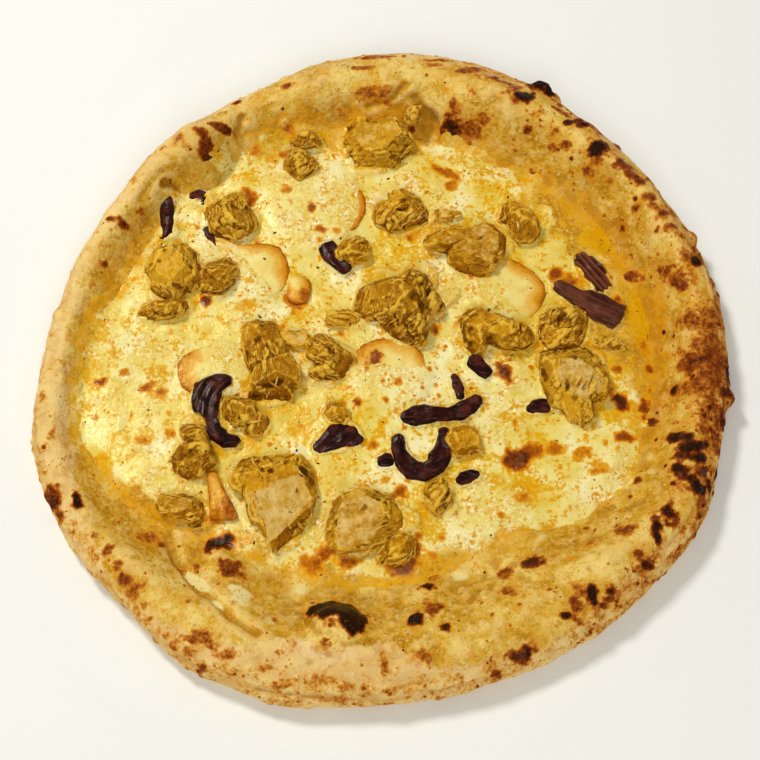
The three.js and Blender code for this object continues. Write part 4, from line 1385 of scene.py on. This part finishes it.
def torn_surface(points, places, tornness, seed):
    """How far a point stands out, its painted shade in clefts and under ledges, and if torn."""
    torn = step(-0.05, 0.3, noise(points, 9, seed) + tornness - 0.15)
    thick, thick_cleft = bundles(places, points, 12, 3.6, seed + 1)
    thin, thin_cleft = bundles(places, points, 6, 1.4, seed + 2)
    layer_line = lumps(places / (4, 1.2, 1.2), 3.4, seed + 16, 2)
    layer = step(-0.06, 0.06, layer_line)
    under_layer = step(-0.3, -0.03, layer_line) * (1 - layer)
    smooth = 0.45 * lumps(points, 6, seed + 5) + 0.16 * lumps(points, 1.8, seed + 8, 2)
    crease_line = np.abs(lumps(places / (2.5, 1, 1), 6, seed + 10, 2))
    crease = (1 - step(0.0, 0.06, crease_line)) * step(0.1, 0.4, noise(points, 8, seed + 12))
    height = torn * (0.4 * thick + 0.2 * thin) + (0.25 + 0.75 * torn) * 0.8 * layer
    height += smooth - 0.2 * crease
    here = step(0.0, 0.45, noise(points, 6, seed + 14))
    # painted shade in clefts and creases, and painted shadow under each ledge
    dark = torn * here * np.maximum(thick_cleft, 0.6 * thin_cleft)
    dark = np.maximum(dark, (0.2 + 0.8 * torn) * 0.9 * under_layer)
    return height, np.maximum(dark, 0.35 * crease), torn


heart_fibres = fibre_places(heart, CHUNKS["chicken_heart"][0], 0)
print("along the fibres the heart-shaped chunk is", np.ptp(heart_fibres[:, 0]).round(), "mm long")

# %% [markdown]
# Pesto oil has browned the chicken. The recipe starts with that roast colour, with painted
# light on faces that look up, and with the paler colour of a cut face. It draws thin light
# and dark streaks along the fibres, and then paints shade on what lies low, in clefts and
# in hollows, and a highlight on crests. Herbs come last.

# %% Chicken finish
meat = Finish("pesto chicken")
fibres = meat.painted("fibres", "Vector")
streaks = meat.noise(1.0, detail=3, roughness=0.6, place=fibres)
blotches = meat.noise(7, detail=4, roughness=0.7)
roast = meat.shades(meat.broad, (0.36, (136, 74, 0)), (0.48, (168, 103, 0)), (0.6, (200, 138, 2)))
roast = meat.layers(
    roast, ((226, 174, 44), meat.middling, 0.54, 0.66, 0.7),
    ((116, 58, 0), meat.middling, 0.46, 0.36, 0.7))
# painted light: faces that look up are paler
roast = meat.cover(roast, (224, 164, 24), meat.times(meat.painted("up"), 0.3))
roast = meat.cover(roast, (234, 182, 44), meat.painted("golden"))
roast = meat.cover(roast, (140, 76, 0), meat.painted("deep"))
cut_face = meat.shades(meat.middling, (0.36, (198, 152, 64)), (0.5, (214, 176, 98)),
                       (0.64, (229, 199, 129)))
cut_face = meat.lay(cut_face, (224, 168, 36), blotches, 0.52, 0.64, 0.7)
pale_here = meat.ragged(meat.painted("pale"), 0.14)
flesh = meat.lay(roast, cut_face, pale_here, 0.25, 0.6, 0.95)
grainy = meat.between(meat.painted("torn"), 0.0, 0.7, 0.3, 1.0)
light_streaks = meat.times(meat.between(streaks, 0.52, 0.62, 0.0, 0.75), grainy)
dark_streaks = meat.times(meat.between(streaks, 0.45, 0.33, 0.0, 0.6), grainy)
flesh = meat.cover(flesh, (250, 208, 80), light_streaks)
flesh = meat.cover(flesh, (126, 74, 0), dark_streaks)
# painted shade towards the foot of each chunk
flesh = meat.lay(flesh, (118, 60, 0), meat.painted("low"), 0.3, 0.8, 0.85)
pesto = meat.times(meat.between(blotches, 0.55, 0.66, 0.0, 0.7),
                   meat.between(pale_here, 0.2, 0.6, 1.0, 0.25))
flesh = meat.cover(flesh, (122, 70, 0), pesto)
crest = meat.painted("crest")
herbs_here = meat.ragged(meat.painted("herbs"), 0.22)
# a painted highlight on crests, painted shade in hollows and clefts, then tones of the meat and herbs
flesh = meat.layers(
    flesh, ((246, 202, 72), crest, 0.58, 0.88, 0.75), ((92, 43, 0), crest, 0.42, 0.12, 0.75),
    ((80, 36, 0), meat.painted("cleft"), 0.3, 1.0, 0.65),
    ((246, 206, 100), meat.fine, 0.57, 0.68, 0.35), ((104, 62, 0), meat.fine, 0.43, 0.32, 0.25),
    ((128, 72, 4), herbs_here, 0.25, 0.5, 0.8), ((60, 35, 4), herbs_here, 0.5, 0.85, 0.85))
flesh = meat.cover(flesh, (62, 42, 4), meat.times(meat.spots(2.4, 0.2, 0.4), 0.8))
strands = meat.bump(streaks, 0.4)
strands = meat.bump(meat.fine, 0.25, strands)
pesto_chicken = meat.finish(flesh, meat.between(meat.middling, 0.35, 0.65, 0.16, 0.36), strands,
                            shine=0.09, glow=0.08, glow_depth=1.5)
print("nodes for the chicken:", len(meat.tree.nodes))

# %% [markdown]
# Now each chunk is swollen a little, broken, cut and torn, in this order, with seeds that
# count up with its number, so that no two chunks are alike.

# %% Dress the chicken
for number, node in enumerate(names_of["chicken"]):
    mesh = topping_meshes[node]
    points = read_points(mesh)
    normals = read_normals(mesh)
    points = points + normals * (0.5 + 0.7 * lumps(points, 7, 500 + number))[:, None]
    points = broken_flat(points, BREAKS, 900 + number)
    cut = CUT_FACES.get(node, (0, 0, 0, 0))
    flat = np.zeros(len(points))
    if cut[0]:
        points, flat = cut_flat(points, normals, cut)
    write_points(mesh, points)
    normals = read_normals(mesh)
    fibre_turn, tornness = CHUNKS.get(node, USUAL_CHUNK)
    places = fibre_places(points, fibre_turn, 200 + 17 * number)
    height, cleft, torn = torn_surface(points, places, tornness - 0.6 * flat, 300 + 17 * number)
    write_points(mesh, points + normals * height[:, None])
    # how near the foot of the chunk a point lies, for the painted shade there
    low = 1 - step(0.1, 0.7, (points[:, 2] - points[:, 2].min()) / np.ptp(points[:, 2]))
    low = np.clip(low + 0.25 * noise(points, 4, 480), 0, 1)
    pale = cut[3] * flat
    if node in PALE_TOWARDS:
        towards = along_and_across(points - points.mean(axis=0), PALE_TOWARDS[node])[0]
        pale *= step(-7, 0, towards + 3 * noise(points, 6, 490))
    even = np.ones(len(points))
    # faces that look up are kept for painted light, crests and hollows for painted light and shade
    store(mesh, cleft=cleft, torn=torn, low=low, pale=pale, golden=even * GOLDEN.get(node, 0),
          deep=even * DEEP.get(node, 0), up=step(0.55, 0.97, normals[:, 2]),
          crest=standing_out(mesh, 14, 0.5))
    store_vectors(mesh, "fibres", places / (5, 0.55, 0.55))

on_chicken = places_on(*[topping_meshes[node] for node in names_of["chicken"]])
for node in names_of["chicken"]:
    mesh = topping_meshes[node]
    store(mesh, herbs=paint_marks(read_points(mesh), CHICKEN_MARKS, on_chicken))
    add_piece("torn_" + node, mesh, pesto_chicken, "chicken", node)
print("chicken pieces:", len(names_of["chicken"]))

# %% [markdown]
# Torn meat also has loose fibres. Each is a thin tapered strand that starts at a point of
# a chunk, follows its surface along the grain for a few millimetres, and lifts off at
# the end. All of them together are one mesh.

# %% One strand
STRAND_STEPS = 6
STRAND_SIDES = 5


def strand_rings(skin, place, way, length, thick, draw):
    """Rings of points around a line that follows the skin and then lifts off."""
    heading = Vector((math.cos(way), math.sin(way), 0))
    rings = []
    for k in range(STRAND_STEPS + 1):
        share = k / STRAND_STEPS
        found, normal = skin.find_nearest(place)[:2]
        lift = 0.1 + 2.2 * max(0.0, share - 0.55)
        centre = found + normal * lift
        heading = (heading - normal * heading.dot(normal)).normalized()
        aside = heading.cross(normal).normalized()
        wide = thick * (math.sin(math.pi * min(1.0, 0.15 + 0.83 * share)) + 0.12)
        for side_number in range(STRAND_SIDES):
            angle = 2 * math.pi * side_number / STRAND_SIDES
            offset = aside * (wide * math.cos(angle)) + normal * (0.6 * wide * math.sin(angle))
            rings.append(centre + offset)
        heading.rotate(Matrix.Rotation(draw.normal(0, 0.12), 3, normal))
        place = found + heading * (length / STRAND_STEPS)
    return rings


def strand_sides(first):
    """The faces of a strand whose points start at that number. Both its ends are closed."""
    faces = []
    for k in range(STRAND_STEPS):
        low, high = first + k * STRAND_SIDES, first + (k + 1) * STRAND_SIDES
        for a in range(STRAND_SIDES):
            b = (a + 1) % STRAND_SIDES
            faces.append((low + a, low + b, high + b, high + a))
    faces.append([first + a for a in reversed(range(STRAND_SIDES))])
    end = first + STRAND_STEPS * STRAND_SIDES
    faces.append([end + a for a in range(STRAND_SIDES)])
    return faces


print("faces of a strand:", len(strand_sides(0)))

# %% [markdown]
# The strands start on the sides of the chunks, where torn fibres show most, and point
# along the grain one way or the other.

# %% Loose fibres
STRANDS_PER_CHUNK = 18
STRAND_LENGTH = (3.0, 9.0)
STRAND_WIDTH = (0.3, 0.65)   # half the width of a strand

strand_points = []
strand_faces = []
strand_tints = []
draw = np.random.default_rng(91)
for node in names_of["chicken"]:
    mesh = topping_meshes[node]
    points = read_points(mesh)
    normals = read_normals(mesh)
    skin = surface_of(mesh)
    sides = np.flatnonzero((normals[:, 2] > -0.2) & (normals[:, 2] < 0.75))
    fibre_turn = math.radians(CHUNKS.get(node, USUAL_CHUNK)[0])
    for start in draw.choice(sides, STRANDS_PER_CHUNK):
        way = fibre_turn + draw.normal(0, 0.35) + math.pi * draw.integers(0, 2)
        length = draw.uniform(*STRAND_LENGTH)
        thick = draw.uniform(*STRAND_WIDTH)
        strand_faces += strand_sides(len(strand_points))
        strand_points += strand_rings(skin, Vector(points[start]), way, length, thick, draw)
        strand_tints += [draw.random()] * ((STRAND_STEPS + 1) * STRAND_SIDES)

strand_mesh = bpy.data.meshes.new("loose_fibres")
strand_mesh.from_pydata([p * MM for p in strand_points], [], strand_faces)
store(strand_mesh, tint=strand_tints)
strand = Finish("chicken fibre")
golden_fibre = strand.shades(strand.painted("tint"), (0.0, (170, 108, 4)), (0.5, (218, 162, 30)),
                             (1.0, (244, 206, 100)))
golden_fibre = strand.lay(golden_fibre, (136, 82, 4), strand.fine, 0.5, 0.66, 0.7)
strand.finish(golden_fibre, 0.3, strand.bump(strand.grain, 0.1), shine=0.12)
add_piece("chicken_fibres", strand_mesh, strand.material, "chicken")
print("loose fibres:", STRANDS_PER_CHUNK * len(names_of["chicken"]))

# %% [markdown]
# ## The red onion
#
# Roasted red onion is almost black, with plum and rust where it is thin, and it has a wet
# shine. Fine ribs run along each strip. Where a strip is bent, the ribs bend with it, so
# they are measured around the middle of its bend.

# %% Onion finish
# the middle of each strip's bend, from its own middle; straight strips bend around a far point
BENDS = {
    "onion_curl_left": (11, 0), "onion_hook": (0, 7), "onion_wave": (-20, 200),
    "onion_long_right": (250, 430), "onion_ridged": (400, 290), "onion_far_left": (500, 0),
    "onion_petal_middle": (400, 300), "onion_knot": (50, -60),
}
FAR_AWAY = (100, 500)
# how ridged and how dry a strip is, where it is either
RIBBED = {"onion_ridged": 1.0, "onion_long_right": 0.2}
DRY = {"onion_long_right": 0.8, "onion_ridged": 0.5}

onion = Finish("roasted red onion")
ribs = onion.noise(1.0, detail=3, roughness=0.6, place=onion.painted("ribs", "Vector"))
plum = onion.shades(onion.middling, (0.36, (22, 3, 3)), (0.52, (48, 14, 12)), (0.66, (88, 34, 30)))
plum = onion.lay(plum, (128, 74, 66), ribs, 0.56, 0.74, 0.4)
dry_skin = onion.times(onion.painted("dry"), onion.between(ribs, 0.4, 0.56, 0.3, 1.0))
plum = onion.cover(plum, (112, 64, 46), dry_skin)
plum = onion.cover(plum, (128, 68, 40), onion.painted("rust"))
red_onion = onion.finish(plum, onion.between(onion.middling, 0.3, 0.7, 0.16, 0.34),
                         onion.bump(ribs, 0.3), shine=0.13, tint=NO_TINT)
print("nodes for the onion:", len(onion.tree.nodes))

# %% [markdown]
# Each strip is pressed flat on top and fluted. The flutes are waves across the strip, so
# they too follow its bend. A ridged strip has stronger and closer ones, rust-coloured on
# their crests.

# %% Dress the onion
ONION_TOP = (0.3, 0.0, 0.0, 0.0)     # pressed flat, 0.3 of its height down
FLUTE = 5                    # from one wave across a strip to the next
RIDGE = 2.6

for number, node in enumerate(names_of["onion"]):
    mesh = topping_meshes[node]
    points, _ = cut_flat(read_points(mesh), read_normals(mesh), ONION_TOP)
    write_points(mesh, points)
    normals = read_normals(mesh)
    centre = points.mean(axis=0)[:2] + BENDS.get(node, FAR_AWAY)
    offset = points[:, :2] - centre
    bend = np.hypot(offset[:, 0], offset[:, 1])
    along = np.unwrap(np.arctan2(offset[:, 1], offset[:, 0])) * bend.mean()
    places = np.stack([along / 9, bend / 1.3, points[:, 2] / 1.3], axis=1)
    flutes = np.sin(bend * 2 * math.pi / FLUTE + 2.5 * noise(points, 9, 740 + number))
    push = 0.5 * lumps(points, 7, 700 + number, 2) + 0.12 * lumps(places, 1.0, 720 + number, 2)
    push += 0.2 * flutes
    rust = np.zeros(len(points))
    ribbing = RIBBED.get(node, 0)
    if ribbing:
        wave = np.sin(bend * 2 * math.pi / RIDGE + 0.8 * noise(points, 8, 790))
        push += 0.45 * ribbing * wave
        rust = ribbing * step(-0.3, 0.7, wave)
    write_points(mesh, points + normals * push[:, None])
    dry = DRY.get(node, 0) * (0.7 + 0.6 * noise(places, 1.2, 795)).clip(0, 1)
    store(mesh, rust=rust * 0.8, dry=dry)
    store_vectors(mesh, "ribs", places)
    add_piece("roasted_" + node, mesh, red_onion, "red_onion", node)
print("onion pieces:", len(names_of["onion"]))

# %% [markdown]
# ## Herb flakes
#
# Dried basil and oregano lie over everything as flakes of about a millimetre. They are
# one mesh. Each flake is dropped from above onto whatever is under it and lies flat
# against that surface.

# %% Herbs
HERB_FLAKES = 750
FLAKE_SIZE = (0.25, 1.0)     # half the length of a flake
FLAKE_HEIGHT = 0.12
FLAKE_CORNERS = 6
HERB_REACH = 146             # how far from the middle flakes fell

everything = surface_of(crust_mesh, cheese_mesh, *topping_meshes.values())
draw = np.random.default_rng(77)
flake_points = []
flake_faces = []
flake_tones = []
while len(flake_tones) < HERB_FLAKES:
    angle = draw.random() * 2 * math.pi
    distance = HERB_REACH * math.sqrt(draw.random())
    start = Vector((distance * math.cos(angle), distance * math.sin(angle), HIGH_ABOVE))
    hit, normal = everything.ray_cast(start, DOWN)[:2]
    if hit is None or normal.z < 0.3:
        continue
    half = FLAKE_SIZE[0] + (FLAKE_SIZE[1] - FLAKE_SIZE[0]) * draw.random() ** 3
    narrow = half * draw.uniform(0.3, 0.8)
    lie = normal.to_track_quat("Z", "Y").to_matrix() @ Matrix.Rotation(draw.random() * 6.3, 3, "Z")
    first = len(flake_points)
    for k in range(FLAKE_CORNERS):
        angle = 2 * math.pi * k / FLAKE_CORNERS
        wobble = draw.uniform(0.6, 1.25)
        flat = Vector((half * wobble * math.cos(angle), narrow * wobble * math.sin(angle), 0))
        flake_points.append(hit + lie @ flat)
    for side in (FLAKE_HEIGHT, -FLAKE_HEIGHT):
        flake_points.append(hit + lie @ Vector((0, 0, side)))
    for k in range(FLAKE_CORNERS):
        following = (k + 1) % FLAKE_CORNERS
        flake_faces.append((first + k, first + following, first + FLAKE_CORNERS))
        flake_faces.append((first + following, first + k, first + FLAKE_CORNERS + 1))
    flake_tones.append(draw.random())

herb_mesh = bpy.data.meshes.new("herbs")
herb_mesh.from_pydata([p * MM for p in flake_points], [], flake_faces)
store(herb_mesh, tone=np.repeat(flake_tones, FLAKE_CORNERS + 2))
herb = Finish("dried herbs")
green = herb.shades(herb.painted("tone"), (0.0, (48, 34, 8)), (0.55, (84, 66, 16)), (1.0, (128, 98, 30)))
green = herb.lay(green, (50, 38, 10), herb.grain, 0.5, 0.7, 0.5)
herb.finish(green, 0.6, herb.bump(herb.grain, 0.1))
add_piece("herb_flakes", herb_mesh, herb.material, "chicken")
print("herb flakes:", len(flake_tones))

# %% [markdown]
# ## Floor, light and sky
#
# The pizza lies on a plain pale floor, which catches its shadow. It has the plainest of
# all finishes: one dull colour.

# %% Floor
FLOOR_HALF = 6.0             # in metres
floor_mesh = bpy.data.meshes.new("floor")
floor_corners = [(-FLOOR_HALF, -FLOOR_HALF, 0), (FLOOR_HALF, -FLOOR_HALF, 0),
                 (FLOOR_HALF, FLOOR_HALF, 0), (-FLOOR_HALF, FLOOR_HALF, 0)]
floor_mesh.from_pydata(floor_corners, [], [(0, 1, 2, 3)])
floor_finish = Finish("pale floor")
floor_finish.finish(picture_colour(246, 250, 255), 0.9, None, shine=0.0)
floor_mesh.materials.append(floor_finish.material)
put_in_scene("floor", floor_mesh)
print("the floor is", 2 * FLOOR_HALF, "m wide")

# %% [markdown]
# A small soft light stands above the pizza, behind and to the left, as a window would, and
# a broad one fills the near side. Together with the sky they light a flat surface just
# enough that it shows its own colour. All are a little warm, so that oil and melted cheese
# shine yellow.

# %% Lights and sky
LAMP_COLOUR = (1.0, 0.955, 0.84)
SKY_STRENGTH = 0.34


def soft_light(name, place, size, watts):
    data = bpy.data.lights.new(name, "AREA")
    data.shape = "DISK"
    data.size = size
    data.energy = watts
    data.color = LAMP_COLOUR
    light = put_in_scene(name, data)
    light.location = place
    light.rotation_euler = (-Vector(place)).to_track_quat("-Z", "Y").to_euler()


# places and sizes in metres
soft_light("window", (-0.6, 0.6, 1.25), size=0.3, watts=12.0)
soft_light("fill", (0.0, -1.1, 1.2), size=1.0, watts=8.4)

sky = bpy.data.worlds.new("soft sky")
sky.use_nodes = True
background = sky.node_tree.nodes["Background"]
background.inputs["Color"].default_value = (*LAMP_COLOUR, 1)
background.inputs["Strength"].default_value = SKY_STRENGTH
bpy.context.scene.world = sky
bpy.context.scene.view_settings.view_transform = "Standard"
print("lights:", len(bpy.data.lights))
